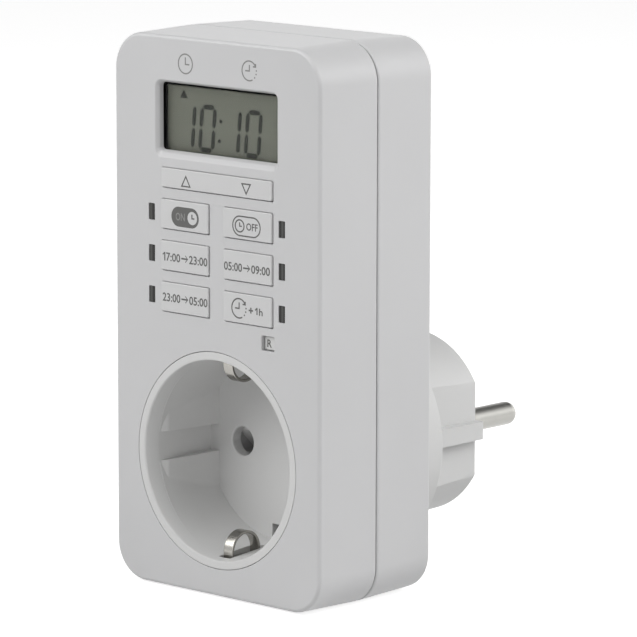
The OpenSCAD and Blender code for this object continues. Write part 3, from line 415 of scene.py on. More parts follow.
def brick(x0, x1, d0, d1, z0, z1):
    """A plain block between two x, two depths and two z, for cuts and hidden ribs."""
    return prism(np.array([[x0, z0], [x1, z0], [x1, z1], [x0, z1]], float), d0, d1)


def pegs(r, near, far, places, count=48):
    """Round pegs or holes of one radius between two depths, one at each place [x, z]."""
    return [turned([(r, near), (r, far)], x, z, count) for x, z in places]


screw_x, post_x, boss_r, post_r, thread_r, post_thread_r = 23.0, 21.9, 3.2, 2.2, 1.25, 1.0
corners = [(sx * screw_x, z) for sx in (-1, 1) for z in (-22.65, 78.65)]
posts = [(sx * post_x, z) for sx in (-1, 1) for z in (26.5, 72.4)]
lugs = [brick(-1.9, 1.9, front_wall - 0.05, 5.3, low, low + 1.1)
        for low in (rocker_mid - 3.35, rocker_mid + 2.25)]
piece("front_cover_shell", [
    rings(front_skin), plate(flat(front_skin[0]), [flat(o[0]) for o in openings], 0),
    plate(flat(front_skin[-1]), [flat(o[-1]) for o in openings], front_wall), *[rings(o) for o in openings]],
    "housing", grey_shell, ["front_cover"],
    joined=pegs(boss_r, front_wall - 0.5, seam, corners) + pegs(post_r, front_wall - 0.5, 9.0, posts) + lugs,
    taken=pegs(thread_r, 7.7, seam + 1, corners) + pegs(post_thread_r, 3.6, 10.0, posts))


# ---------- rear cover ----------
# The rear half of the housing, in the same grey plastic. It meets the front half in a fine groove
# and is held by four screws whose heads lie deep in round wells in its back.
rear_wall, collar_hole_r, well_r, seat = 2.0, 24.6, 2.4, 24.0
rear_skin = [at(outline(2.1), seam)] + [at(outline(i), seam + d) for i, d in seam_lip[::-1]]
rear_skin += [at(outline(side_draft + edge_r * a), body_depth - edge_r * b) for a, b in quarter(8)[::-1]]
collar_hole = [at(circle(0, 0, collar_hole_r + 0.1 * a, 128), body_depth - 0.1 * b) for a, b in quarter(3)]
collar_hole += [at(circle(0, 0, collar_hole_r, 128), body_depth - rear_wall)]
rear_inner = [at(outline(side_draft + 2.0), body_depth - rear_wall), at(outline(2.15), seam + 1.7),
              at(outline(2.1), seam)]
rear_posts = [(sx * 21.4, z) for sx in (-1, 1) for z in (29.2, 71.4)]
wells = [(1.3, seam - 1), (1.3, seat), (well_r, seat), (well_r, body_depth + 1)]
piece("rear_cover_shell", [
    rings(rear_skin), rings(rear_inner), rings(collar_hole),
    plate(flat(rear_skin[-1]), [flat(collar_hole[0])], body_depth),
    plate(flat(rear_inner[0]), [flat(collar_hole[-1])], body_depth - rear_wall)],
    "housing", grey_shell, ["rear_cover"],
    joined=pegs(boss_r, seam + 0.05, body_depth - 1.5, corners) + pegs(post_r, 29.1, 31.0, rear_posts),
    taken=[turned(wells, x, z) for x, z in corners] + pegs(post_thread_r, 28.0, 31.9, rear_posts))


# ---------- socket ----------
# The recess for a plug, one moulding in slightly whiter plastic behind the front cover. Its ring shows
# round the recess; inside are flats with guide grooves, the floor with two holes, and slots for clips.
white_core = moulded("white_core", (0.66, 0.66, 0.655), (0.62, 0.62, 0.615), rough=(0.36, 0.48))
recess_r, recess_in, step_depth, step_long, recess_depth, floor_back = 20.0, 18.95, 3.0, 1.6, 17.5, 20.0
flat_front, flat_floor, groove_half, contact_r, lead, pin_x = 17.85, 16.0, 2.8, 2.95, 0.35, 9.5


def section(r, flat_x, rib_x, rib_z, notch=None):
    """A round section with flats at x = flat_x and, within rib_z of the middle, a groove or rib out to
    rib_x. One quarter is six runs: the rib's face, its side, the flat, the arc, and the side and floor of
    a channel sunk into the top, of notch = (half width, height); the other quarters mirror it."""
    side = min(math.sqrt(r * r - rib_z * rib_z), flat_x)
    face_z = np.linspace(0, rib_z, 5)
    face_x = np.minimum(np.sqrt(r * r - face_z ** 2), max(rib_x, side) if rib_x > side else rib_x)
    corner_z = max(rib_z, math.sqrt(max(r * r - side * side, 0)))
    flat_z = np.linspace(rib_z, corner_z, 9)
    half, low = notch or (0.0, r)
    end = math.acos(half / r)
    arc = np.linspace(math.asin(min(corner_z / r, 1)), end, 33)
    runs = [np.stack([face_x, face_z], 1), np.stack([np.linspace(face_x[-1], side, 3), np.full(3, rib_z)], 1),
            np.stack([np.full(9, side), flat_z], 1), np.stack([r * np.cos(arc), r * np.sin(arc)], 1)]
    if notch:
        top = r * math.sin(end)
        runs += [np.stack([np.full(3, half), np.linspace(top, low, 3)], 1),
                 np.stack([np.linspace(half, 0, 4), np.full(4, low)], 1)]
    else:
        runs += [np.repeat([[0.0, r]], 3, 0), np.repeat([[0.0, r]], 4, 0)]
    q = np.concatenate(runs)
    return np.concatenate([q, (q * [-1, 1])[::-1], q * [-1, -1], (q * [1, -1])[::-1]])


def round_section(r):
    """A circle whose points stand level with the recess section's, so that rings can join the two: each x
    is the circle's at that z."""
    loop = section(recess_in, flat_front, recess_in, groove_half)
    loop[:, 0] = np.sign(loop[:, 0]) * np.sqrt(np.maximum(recess_in ** 2 - loop[:, 1] ** 2, 0))
    return loop * (r / recess_in)


def wall(loop, depth):
    """A loop of the recess at a depth: the wall above and below leans in evenly from the rim to the floor,
    and the rim's slight drop fades with it."""
    share = depth / recess_depth
    tall = (recess_r * rim_tall * (1 - share) + recess_in * share) / recess_in
    return at(loop * [1, tall] - [0, rim_drop * (1 - share)], depth)


cup_skin = [at(round_section(r), d) for r, d in (
    (23.0, floor_back), (23.0, recess_depth), (22.2, recess_depth), (22.2, 3.25), (23.6, 3.25),
    (23.6, front_wall + 0.02))]
cup_skin += [at(rim(round_section(r)), d) for r, d in (
    (rim_r, front_wall + 0.02), (rim_r, 0.15), (rim_r - 0.04, 0.04), (rim_r - 0.15, 0.0),
    (recess_r + 0.3, 0.0), (recess_r + 0.12, 0.05), (recess_r + 0.03, 0.15))]
for t in np.linspace(0.08, 1, 8):
    side_r = recess_in + (recess_r - recess_in) * (1 - t) ** 1.4
    cup_skin.append(wall(round_section(recess_in) * [side_r / recess_in, 1], step_depth * t))
for t in np.linspace(0.1, 1, 10) ** 2:
    flat_x = recess_in + (flat_front - recess_in) * t
    cup_skin.append(wall(section(recess_in, flat_x, recess_in, groove_half), step_depth + step_long * t))
for t in (0.03, 0.2, 0.4, 0.6, 0.8, 1):
    flat_x = flat_front + (flat_floor - flat_front) * t
    depth = step_depth + step_long + (recess_depth - step_depth - step_long) * t
    cup_skin.append(wall(section(recess_in, flat_x, recess_in - 0.45 * t, groove_half), depth))
lead_in = [(contact_r + lead * a, recess_depth + lead * b) for a, b in quarter(5)]
contact_hole = [(contact_r + lead, recess_depth - 0.5), *lead_in, (contact_r, floor_back + 1)]
cup_cuts = [turned(contact_hole, sx * pin_x) for sx in (-1, 1)]
# Slots for each clip: half width, two depths, two heights. The last lets its tail through the floor.
clip_slots = ((1.6, 2.3, 3.6, 17.5, 21.4), (1.6, 3.4, 13.0, 17.5, 24.0),
              (1.2, recess_depth - 1, floor_back + 1, 15.8, 18.4))
for sz in (-1, 1):
    for half, near, far, low, high in clip_slots:
        cup_cuts.append(brick(-half, half, near, far, *sorted((sz * low, sz * high))))
ear_x, ear_r = 25 * math.cos(math.radians(45)), 3.0
ears = [(sx * ear_x, sz * ear_x) for sx, sz in ((1, 1), (-1, 1), (-1, -1), (1, -1))]
piece("socket_recess_moulding", [
    rings(cup_skin), plate(flat(cup_skin[0]), [], floor_back), plate(flat(cup_skin[-1]), [], recess_depth)],
    "housing", white_core, ["socket_cup"],
    joined=pegs(ear_r, recess_depth, floor_back - 0.01, ears, 32),
    taken=cup_cuts + pegs(1.3, recess_depth - 1, floor_back + 1, ears, 32))


# ---------- plug ----------
# The plug behind the housing, in the same whiter plastic: a round collar, then a body with two flats,
# a guide rib on each and a channel above and below for the earth strips. Its end face carries the pins.
end_depth, collar_back, collar_r, root_r, tip_body_r = 59.8, 40.5, 24.5, 19.5, 18.95
plug_flat, rib_out, rib_half, channel, channel_start = 16.3, 18.5, 1.85, (2.6, 16.6), 42.9


def body_section(depth, with_channel=True):
    """The plug body's section, which narrows evenly from the collar to the end face."""
    t = (depth - collar_back) / (end_depth - collar_back)
    r = root_r + (tip_body_r - root_r) * t
    return section(r, plug_flat, rib_out, rib_half, channel if with_channel else None)


def shrunk(loop, by):
    """The loop drawn in by about an amount, by scale."""
    return loop * (1 - by / np.abs(loop).max())


cavity = section(17.0, 14.1, 14.1, rib_half)
pin_seat = 56.6
plug_skin = [at(cavity, pin_seat), at(cavity, 38.3)]
plug_skin += [at(round_section(r), d) for r, d in (
    (20.2, 38.3), (20.2, 28.5), (21.0, 28.5), (21.0, 20.0), (23.0, 20.0), (23.0, 28.6), (25.6, 28.6),
    (25.6, 30.5), (collar_r, 30.5), (collar_r, collar_back - 0.5), (collar_r - 0.15, collar_back - 0.15),
    (collar_r - 0.5, collar_back))]
plug_skin += [at(body_section(collar_back, False) * 1.012, collar_back)]
plug_skin += [at(body_section(d, False), d) for d in (collar_back + 0.25, channel_start)]
plug_skin += [at(body_section(d), d) for d in (channel_start, 46.0, 50.0, 54.0, 58.0, end_depth - 0.35)]
plug_skin += [at(shrunk(body_section(end_depth), inset), d)
              for inset, d in ((0.1, end_depth - 0.1), (0.35, end_depth))]
piece("plug_moulding", [
    rings(plug_skin), plate(flat(plug_skin[0]), [], pin_seat), plate(flat(plug_skin[-1]), [], end_depth)],
    "housing", white_core, ["plug_body"],
    joined=pegs(ear_r, 20.0, 30.5, ears, 32),
    taken=pegs(2.65, pin_seat - 1, end_depth + 1, [(-pin_x, 0), (pin_x, 0)]))


# ---------- pins ----------
# Two solid round pins of nickel-plated brass, turned with a rounded tip and fine rings from the lathe.
# Brushed metal: fine scratches are a noise drawn out along one axis by its scale; a second noise is the
# slow change of tone where the plating is thicker or has been touched.
scratches = bpy.data.node_groups.new("fine_scratches", "ShaderNodeTree")
socket(scratches, "Along", "NodeSocketVector")
socket(scratches, "Scratch", "NodeSocketFloat", "OUTPUT")
socket(scratches, "Cloud", "NodeSocketFloat", "OUTPUT")
scratch_in, scratch_out = scratches.nodes.new("NodeGroupInput"), scratches.nodes.new("NodeGroupOutput")
scratch_place = add(scratches, "TexCoord").outputs["Object"]
drawn_out = add(scratches, "VectorMath", ("operation", "MULTIPLY"), _0=scratch_place,
                _1=scratch_in.outputs["Along"])
for label, source, size in (("Scratch", drawn_out.outputs[0], 1.0), ("Cloud", scratch_place, 140.0)):
    noise = add(scratches, "TexNoise", Vector=source, Scale=size, Detail=3.0)
    scratches.links.new(noise.outputs["Fac"], scratch_out.inputs[label])


def brushed(name, pale, deep, rough, per_metre):
    """A metal whose tone runs from pale to deep, and whose gloss follows scratches; per_metre says how many
    scratches lie side by side along each axis, so the smallest number is the way they run."""
    return finish_from(scratches, {"Along": per_metre}, "Cloud", "Scratch", name,
                       pale, deep, rough, 0.06, 0.00002, Metallic=1.0)


nickel_plate = brushed("nickel_plate", (0.46, 0.455, 0.43), (0.37, 0.365, 0.345), (0.24, 0.38),
                       (900, 9000, 900))
tip, pin_r, tip_r, root_in, head_r, bore_r = end_depth + 19.0, 2.4, 1.9, 1.6, 3.6, 2.6
tip_arc = [(pin_r - tip_r + tip_r * math.cos(a), tip - tip_r + tip_r * math.sin(a))
           for a in np.linspace(0, math.pi / 2, 13)]
pin_profile = [(root_in, 53.0), (root_in, 55.0), (head_r, 55.0), (head_r, pin_seat), (bore_r, pin_seat),
               (bore_r, end_depth), (pin_r, end_depth)] + tip_arc
for name, x in (("live_pin", -pin_x), ("neutral_pin", pin_x)):
    piece(name + "_turned", turned(pin_profile, x, 0, 64), "housing", nickel_plate, [name])


# ---------- earth clips ----------
# Two sprung strips of nickel-plated brass that bow into the recess from above and below and touch the
# earth strips of a plug. Each is bent from one strip, with its feet outside the recess wall.
def strip(path, width, thick, sz):
    """A strip of even thickness along a path of [depth, height]: a slim round-edged section at each
    point."""
    path = np.array(path, float)
    step = np.gradient(path, axis=0)
    step /= np.linalg.norm(step, axis=1, keepdims=True)
    normal = np.stack([-step[:, 1], step[:, 0]], 1)
    edge = rounded(0, 0, width / 2, thick / 2, thick * 0.3, 3)
    loops = []
    for p, n in zip(path, normal):
        yz = p + edge[:, 1:] * n
        loops.append(np.stack([edge[:, 0], yz[:, 0], sz * yz[:, 1] - clip_drop], 1))
    return capped(loops)


clip_mid, bow_r, bow_z, foot, base_z, clip_drop = 7.4, 3.8, 19.2, 22.35, 20.5, 0.22
clip_width, clip_thick = 2.5, 0.6
bow = [(clip_mid - bow_r * math.cos(a), bow_z - bow_r * math.sin(a)) for a in np.linspace(0, math.pi, 33)]
near_end, far_end = clip_mid - bow_r, clip_mid + bow_r
bend = [(0.5, foot), (0.1, foot - 0.15), (0, foot - 0.5)]
clip_path = [(near_end + 1.5, foot)] + [(near_end + out, height) for out, height in bend] + bow
clip_path += [(far_end + out, height) for out, height in bend[::-1]] + [(far_end + 3.6, foot)]
clip_base = [(clip_mid + bow_r * t, base_z) for t in np.linspace(-1, 1, 5)]
clip_nickel = brushed("clip_nickel", (0.44, 0.43, 0.40), (0.28, 0.27, 0.25), (0.16, 0.3), (6000, 500, 900))
for name, sz in (("earth_clip_upper", 1), ("earth_clip_lower", -1)):
    piece(name + "_bent", strip(clip_path, clip_width, clip_thick, sz), "housing",
          clip_nickel, [name], joined=[strip(clip_base, clip_width - 0.1, 0.45, sz)])


# ---------- keys and rocker ----------
# Six mode keys and a rocker bar in the housing's grey plastic, standing a little out of the face on a
# rubber mat. Each has a flange behind the cover that keeps it in. The sunk reset key is whiter.
key_plastic = moulded("key_plastic", (0.63, 0.63, 0.63), (0.59, 0.59, 0.592))
key_face, key_flange_at, key_stem_end, key_edge = -0.32, 2.3, 5.6, 0.22
flange_out, flange_t, corner = 0.7, 0.8, 5


def cap(x, z, half_w, half_h, face, stem_at, r=0.4, edge=key_edge):
    """A key: a slightly rounded block, its flange behind the cover's wall, and a round stem down to the
    mat."""
    loops = [at(rounded(x, z, half_w - edge * a, half_h - edge * a, max(r - edge * a, 0.08), corner),
                face + edge * b)
             for a, b in quarter(4)]
    loops += [at(rounded(x, z, half_w, half_h, r, corner), key_flange_at)]
    flange_back = key_flange_at + flange_t
    loops += [at(rounded(x, z, half_w + flange_out, half_h + flange_out, r, corner), d)
              for d in (key_flange_at, flange_back)]
    stem = min(1.5, half_h - 0.3)
    loops += [at(rounded(*stem_at, stem, stem, stem - 0.01, corner), d) for d in (flange_back, key_stem_end)]
    return capped(loops)


key_places = {"key_on": (0, 0), "key_off": (1, 0), "key_evening": (0, 1), "key_morning": (1, 1),
              "key_night": (0, 2), "key_countdown": (1, 2)}
stems = {name: (math.copysign(stem_x, key_columns[column]), rows[row])
         for name, (column, row) in key_places.items()}
for name, (column, row) in key_places.items():
    piece(name + "_cap",
          cap(key_columns[column], rows[row] + key_up, key_w / 2, key_h / 2, key_face, stems[name]),
          name, key_plastic, [name])
reset_gap, reset_face = 0.15, 0.8
piece("key_reset_cap", cap(reset_x, reset_z, reset_w / 2 - reset_gap, reset_h / 2 - reset_gap, reset_face,
                           (reset_x, reset_z), 0.25, 0.15),
      "key_reset", white_core, ["key_reset"])


def bar_loop(inset, depth):
    """The bar's outline at a depth, drawn in by an amount."""
    r = max(0.45 - inset, 0.1)
    return at(rounded(rocker_x, rocker_z, rocker_w / 2 - inset, rocker_h / 2 - inset, r, corner), depth)


# The bar turns on an upright pivot held between two lugs of the cover. A stem under each end works the mat.
pivot_depth, pivot_r, pivot_half, bar_stem_x = 3.6, 0.6, 3.25, 8.3
bar_loops = [bar_loop(key_edge * a, key_face + key_edge * b) for a, b in quarter(4)] + [bar_loop(0, 1.6)]
spin = circle(0, pivot_depth, pivot_r, 24)
pivot = [np.stack([spin[:, 0], spin[:, 1], np.full(24, rocker_mid + s * pivot_half)], 1) for s in (-1, 1)]
piece("rocker_bar", capped(bar_loops), "rocker", key_plastic, ["rocker_key"],
      joined=pegs(1.5, 1.2, key_stem_end, [(sx * bar_stem_x, rocker_mid) for sx in (-1, 1)], 32)
      + [brick(-1.6, 1.6, 1.2, 4.5, rocker_mid - 1.7, rocker_mid + 1.9), capped(pivot)])


# ---------- keypad mat ----------
# One sheet of black silicone rubber on the front board, with a dome under each key. A dome's plunger
# carries a pill of carbon rubber onto the board.
silicone = moulded("silicone", (0.075, 0.075, 0.077), (0.06, 0.06, 0.062), rough=(0.6, 0.75))
sheet_front, sheet_back, dome_top, press, tilt_in = 8.0, 8.95, 5.65, 0.6, 0.5
mat_half, mat_low, mat_high, notch_half, notch_top = 16.4, 22.9, 57.7, 4.0, 24.6
domes = {name + "_dome": (*stems[name], 2.5, name + "_press", press) for name in key_places}
domes |= {"rocker_dome_" + side: (x, rocker_mid, 2.0, "rocker_tilt", tilt_in)
          for side, x in (("left", -bar_stem_x), ("right", bar_stem_x))}
domes["key_reset_dome"] = (reset_x, reset_z, 1.7, "key_reset_press", press)
sheet_edge = np.array([(-mat_half, mat_low), (-notch_half, mat_low), (-notch_half, notch_top),
                       (notch_half, notch_top), (notch_half, mat_low), (mat_half, mat_low),
                       (mat_half, mat_high), (-mat_half, mat_high)], float)
sheet_holes = [circle(x, z, r - 0.9, 32) for x, z, r, _, _ in domes.values()]
piece("keypad_sheet", [rings([at(q, sheet_front), at(q, sheet_back)]) for q in (sheet_edge, *sheet_holes)]
      + [plate(sheet_edge, sheet_holes, d) for d in (sheet_front, sheet_back)],
      "housing", silicone, ["keypad_mat"])
for name, (x, z, r, joint, travel) in domes.items():
    skirt = turned([(r - 1.3, sheet_front), (r - 1.3, 6.6), (r - 0.85, 6.7), (r - 0.5, sheet_front),
                    (r - 0.02, sheet_front), (r - 0.15, 7.5), (r - 0.55, 5.8), (r - 0.65, 5.68),
                    (r - 0.75, dome_top)], x, z, 40)
    dome = piece(name, skirt, "housing", silicone)
    high = sheet_front - dome_top
    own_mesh(dome)


# ---------- printed marks ----------
# The marks are pad printed in grey ink. Each is a film of ink that stands 0.015 mm proud of the key or
# cover that it is printed on and moves with it.
ink = moulded("grey_ink", (0.085, 0.085, 0.082), (0.115, 0.115, 0.11), rough=(0.5, 0.65), bump=0.05)
pale_ink = moulded("pale_ink", (0.215, 0.215, 0.21), (0.25, 0.25, 0.245), rough=(0.5, 0.65), bump=0.05)
film, sunk, line_t = 0.015, 0.01, 0.28


def ink_prism(loop, face):
    """A flat outline as a film of ink: from just under a face to just above it."""
    return prism(np.asarray(loop, float), face - film, face + sunk)


def ink_band(outer, inner, face):
    """A closed line of ink between an outer and an inner loop of as many points."""
    high, low = face - film, face + sunk
    return [rings([at(outer, high), at(outer, low), at(inner, low), at(inner, high), at(outer, high)])]


def ink_plate(outer, holes, face):
    """A patch of ink with openings: two flat faces and the walls between them."""
    fronts = [plate(outer, holes, face - film), plate(outer, holes, face + sunk)]
    return fronts + [rings([at(q, face - film), at(q, face + sunk)]) for q in (outer, *holes)]


def arc_band(x, z, r, start, end, face, thick=line_t, count=32):
    """Part of a ring between two angles in degrees: out along one arc and back along the other."""
    t = np.radians(np.linspace(start, end, count))
    way = np.stack([np.cos(t), np.sin(t)], 1)
    return ink_prism(np.concatenate([way * (r + thick / 2), (way * (r - thick / 2))[::-1]]) + [x, z], face)


def ring_band(x, z, r, face, thick=line_t):
    """A whole ring of ink."""
    return ink_band(circle(x, z, r + thick / 2, 48), circle(x, z, r - thick / 2, 48), face)


def hands(x, z, across, up, face, thick=line_t):
    """The two hands of a clock as one L: a stroke across from the middle, to the right or left, and one
    up."""
    h, side = thick / 2, math.copysign(1, across)
    loop = np.array([(-h * side, -h), (across, -h), (across, h), (h * side, h), (h * side, up),
                     (-h * side, up)])
    return ink_prism(loop + [x, z], face)


def arrow(x0, x1, z, face, thick=0.33, head=0.62):
    """An arrow to the right of a length: a shaft and an open head whose strokes go back at 45 degrees."""
    h, w = thick / 2, thick / math.sqrt(2)
    upper = [(x1, 0), (x1 - head - w / 2, head + w / 2), (x1 - head - w, head), (x1 - w - h, h), (x0, h)]
    return ink_prism(np.array(upper[::-1] + [(x, -v) for x, v in upper[1:]]) + [0, z], face)


def lettering(words, x0, x1, z0, z1, face, bold=0.016):
    """Plain letters or figures: the font's outline with its thickness, stretched to a width and a height:
    its corners go to x and z by their share of the outline's own box. bold thickens the strokes."""
    curve = bpy.data.curves.new("lettering", "FONT")
    curve.body, curve.extrude, curve.offset, curve.resolution_u = words, 0.1, bold, 3
    thing = bpy.data.objects.new("lettering", curve)
    bpy.context.collection.objects.link(thing)
    mesh = bpy.data.meshes.new_from_object(thing.evaluated_get(bpy.context.evaluated_depsgraph_get()))
    corners_in = np.empty(3 * len(mesh.vertices))
    mesh.vertices.foreach_get("co", corners_in)
    corners_in = corners_in.reshape(-1, 3)
    low, high = corners_in.min(0), corners_in.max(0)
    share = (corners_in - low) / (high - low)
    faces = [list(p.vertices) for p in mesh.polygons]
    bpy.data.objects.remove(thing)
    bpy.data.curves.remove(curve)
    bpy.data.meshes.remove(mesh)
    x, z = x0 + (x1 - x0) * share[:, 0], z0 + (z1 - z0) * share[:, 1]
    return [(np.stack([x, face + sunk - (film + sunk) * share[:, 2], z], 1), faces)]


def figure_one(x, z0, z1, face, thick=0.3, flag=0.47):
    """A figure 1 from its left edge: an upright stroke with a short flag that slopes down to its left."""
    left, right = x + flag, x + flag + thick
    return ink_prism([(left, z0), (right, z0), (right, z1), (left, z1), (x, z1 - 0.42), (x + 0.14, z1 - 0.63),
                      (left, z1 - 0.38)], face)


def plus(x, z, reach, half, face):
    """A plus sign about a point: three corners of a cross with arms of a reach and a half width, turned by
    each quarter."""
    quarter_turn = np.array([(reach, -half), (reach, half), (half, half)])
    corners_of = [quarter_turn @ np.array([[c, s], [-s, c]]) for c, s in ((1, 0), (0, 1), (-1, 0), (0, -1))]
    return ink_prism(np.concatenate(corners_of) + [x, z], face)


def printed(name, patches, body, finish=ink):
    """One printed mark, riding with the piece that it is printed on."""
    return piece(name, patches, body, finish, sharp=60)


def countdown_clock(x, z, r, face):
    """A clock that runs back: a ring left open at the lower right, where dots follow it, with an arrowhead
    at its upper end and hands that point up and left."""

    def on_ring(degrees):
        return x + r * math.cos(math.radians(degrees)), z + r * math.sin(math.radians(degrees))

    patches = arc_band(x, z, r, 32, 298, face) + hands(*on_ring(27), -0.72, 0.62, face)
    for angle in (4, -17, -40):
        patches += ink_prism(circle(*on_ring(angle), 0.17, 16), face)
    return patches + hands(x + 0.05, z - 0.02, -1.12, 1.2, face)


# The key that switches on: a filled pill with its word and a round knob at the right, in which a clock shows.
on_x, on_z, pill_half, pill_h, knob_x, knob_r = -8.1, 47.86, 3.79, 2.0, -6.12, 1.32
pill = rounded(on_x, on_z, pill_half, pill_h, pill_h - 0.01, 16)
printed("key_on_mark", ink_plate(pill, [circle(knob_x, on_z, knob_r, 48)], key_face)
        + hands(knob_x - 0.08, on_z - 0.05, 0.66, 0.82, key_face, 0.3), "key_on")
printed("key_on_letters", lettering("ON", -10.7, -8.15, on_z - 0.78, on_z + 0.78, key_face - film),
        "key_on", pale_ink)

# The key that switches off: the same pill as a line, with a clock at the left and its word.
off_x, off_z, off_half, off_h, off_clock_x = 8.72, 47.76, 3.85, 2.06, 6.88
pill_lines = [rounded(off_x, off_z, off_half - inset, off_h - inset, 2.05 - inset, 16)
              for inset in (0, line_t)]
printed("key_off_mark", ink_band(*pill_lines, key_face) + ring_band(off_clock_x, off_z, 1.19, key_face)
        + hands(off_clock_x, off_z - 0.05, 0.6, 0.75, key_face, 0.26)
        + lettering("OFF", 8.68, 11.75, off_z - 0.72, off_z + 0.76, key_face), "key_off")

# Three keys with a span of hours: figures, an arrow and figures, from the left edge x and about the height z.
hours_w, arrow_from, arrow_to, end_from, end_to, tall = 4.92, 5.23, 7.12, 7.4, 12.45, 0.86
for key, begins, ends, x, z in (("evening", "7:00", "23:00", -14.42, 39.5),
                                ("morning", "05:00", "09:00", 2.6, 39.48),
                                ("night", "23:00", "05:00", -14.42, 31.33)):
    first = figure_one(x, z - tall, z + tall, key_face) if key == "evening" else []
    printed("key_" + key + "_mark", first
            + lettering(begins, x + (1.02 if first else 0), x + hours_w, z - tall, z + tall, key_face)
            + arrow(x + arrow_from, x + arrow_to, z + 0.03, key_face)
            + lettering(ends, x + end_from, x + end_to, z - tall, z + tall, key_face), "key_" + key)
printed("key_countdown_mark", countdown_clock(6.66, 31.37, 1.93, key_face)
        + plus(9.9, 31.28, 0.58, 0.17, key_face)
        + figure_one(10.95, 30.6, 31.98, key_face) + lettering("h", 12.1, 13.1, 30.52, 31.95, key_face),
        "key_countdown")


def triangle_line(x, z_base, z_tip, half, face, thick=line_t):
    """A triangle drawn as a line: its outline, and the same drawn in by the line's width at each side. The
    circle that touches all three sides has its middle on the upright and half * height / (half + side) as
    its radius."""
    outer = np.array([(x - half, z_base), (x + half, z_base), (x, z_tip)])
    height = z_tip - z_base
    reach = half * abs(height) / (half + math.hypot(half, height))
    middle_in = [x, z_base + math.copysign(reach, height)]
    inner = middle_in + (outer - middle_in) * (1 - thick / reach)
    return ink_band(outer, inner, face)


printed("rocker_mark_up", triangle_line(-7.87, 53.93, 56.35, 1.38, key_face), "rocker")
printed("rocker_mark_down", triangle_line(8.64, 56.3, 53.93, 1.38, key_face), "rocker")
printed("cover_mark_clock", ring_band(-8.2, 78.4, 1.93, 0) + hands(-8.2, 78.3, 1.1, 1.4, 0),
        "housing", pale_ink)
printed("cover_mark_countdown", countdown_clock(9.2, 78.42, 1.93, 0), "housing", pale_ink)
printed("key_reset_mark", lettering("R", 13.3, 14.5, 24.3, 25.86, reset_face, 0.02), "key_reset")


# ---------- indicator lenses ----------
# Six slots beside the keys, each filled by a small moulded lens of smoked clear plastic that lies almost
# flush with the cover. A light behind each shows as a paler stripe.
smoked_lens = moulded("smoked_lens", (0.028, 0.028, 0.027), (0.02, 0.02, 0.019), rough=(0.15, 0.28),
                      bump=0.04, Specular_IOR_Level=0.2)
lens_tree = smoked_lens.node_tree
lens_colour = lens_tree.nodes["Principled BSDF"].inputs["Base Color"]
# The stripe stands 18 mm to either side of the middle: how far a point is from it is | |x| - 18 |.
away = add(lens_tree, "SeparateXYZ", _0=add(lens_tree, "TexCoord").outputs["Object"]).outputs["X"]
for operation, amount in (("ABSOLUTE", 0), ("SUBTRACT", 18.0 * mm), ("ABSOLUTE", 0)):
    away = add(lens_tree, "Math", ("operation", operation), _0=away, _1=amount).outputs[0]
stripe = add(lens_tree, "MapRange", Value=away, From_Min=0.45 * mm, From_Max=0.15 * mm,
             To_Min=0.0, To_Max=0.8)
striped = add(lens_tree, "Mix", ("data_type", "RGBA"), Factor=stripe.outputs["Result"],
              A=lens_colour.links[0].from_socket, B=(0.085, 0.085, 0.082, 1))
lens_tree.links.new(striped.outputs["Result"], lens_colour)
lens_face, lens_gap, lens_back, lens_flange, lens_edge, lens_r = 0.1, 0.03, 2.8, 2.25, 0.12, 0.16
half_w, half_h = slot_w / 2 - lens_gap, slot_h / 2 - lens_gap
lens_steps = [(-lens_edge * a, lens_face + lens_edge * b) for a, b in quarter(3)]
lens_steps += [(0, lens_flange), (0.5, lens_flange), (0.5, lens_back)]
lens_patches = []
for x, z in slots:
    lens_patches += capped([at(rounded(x, z, half_w + out, half_h + out, lens_r, 3), d)
                            for out, d in lens_steps])
piece("indicator_lens_strips", lens_patches, "housing", smoked_lens, ["indicator_lenses"])


# ---------- display ----------
# A black frame behind the cover holds the display glass; a clear window closes the pocket in front of it.
# The glass shows 10:10 and a small triangle in dark seven-segment figures on olive grey.
black_plastic = moulded("black_plastic", (0.022, 0.022, 0.023), (0.015, 0.015, 0.016), rough=(0.35, 0.5))
frame_z, frame_front, frame_back, glass_front = 67.5, 2.5, 9.0, 2.9
frame_loops = [at(rounded(0, frame_z, 19.4, 8.8, 0.6, 6), d) for d in (frame_front, frame_back)]
frame_loops += [at(rounded(0, frame_z, 18.4, 8.1, 0.4, 6), d) for d in (frame_back, glass_front)]
view = rounded(0.25, 66.925, 15.95, 6.725, 0.5, 6)
frame_loops += [at(view, glass_front), at(view, frame_front), frame_loops[0]]
piece("display_frame", [rings(frame_loops)], "housing", black_plastic, ["lcd_frame"])

digit_mid, digit_half, digit_w, stroke, slant, printed_t = 65.6, 4.28, 3.5, 1.0, 0.09, 0.02


def on_glass(loop):
    """A dark shape on the display glass, given its small thickness."""
    return prism(loop, glass_front - printed_t, glass_front + 0.005)


def segment(a, b):
    """One stroke of a figure: a six-sided bar from point a to b with pointed ends, leant over by the slant,
    which adds to x its share of the height above the figure's middle."""
    a, b = np.array(a, float), np.array(b, float)
    along = (b - a) / np.linalg.norm(b - a)
    across = np.array([-along[1], along[0]]) * stroke / 2
    inner_a, inner_b = a + along * stroke / 2, b - along * stroke / 2
    loop = np.array([a, inner_a + across, inner_b + across, b, inner_b - across, inner_a - across])
    loop[:, 0] += slant * (loop[:, 1] - digit_mid)
    return on_glass(loop)


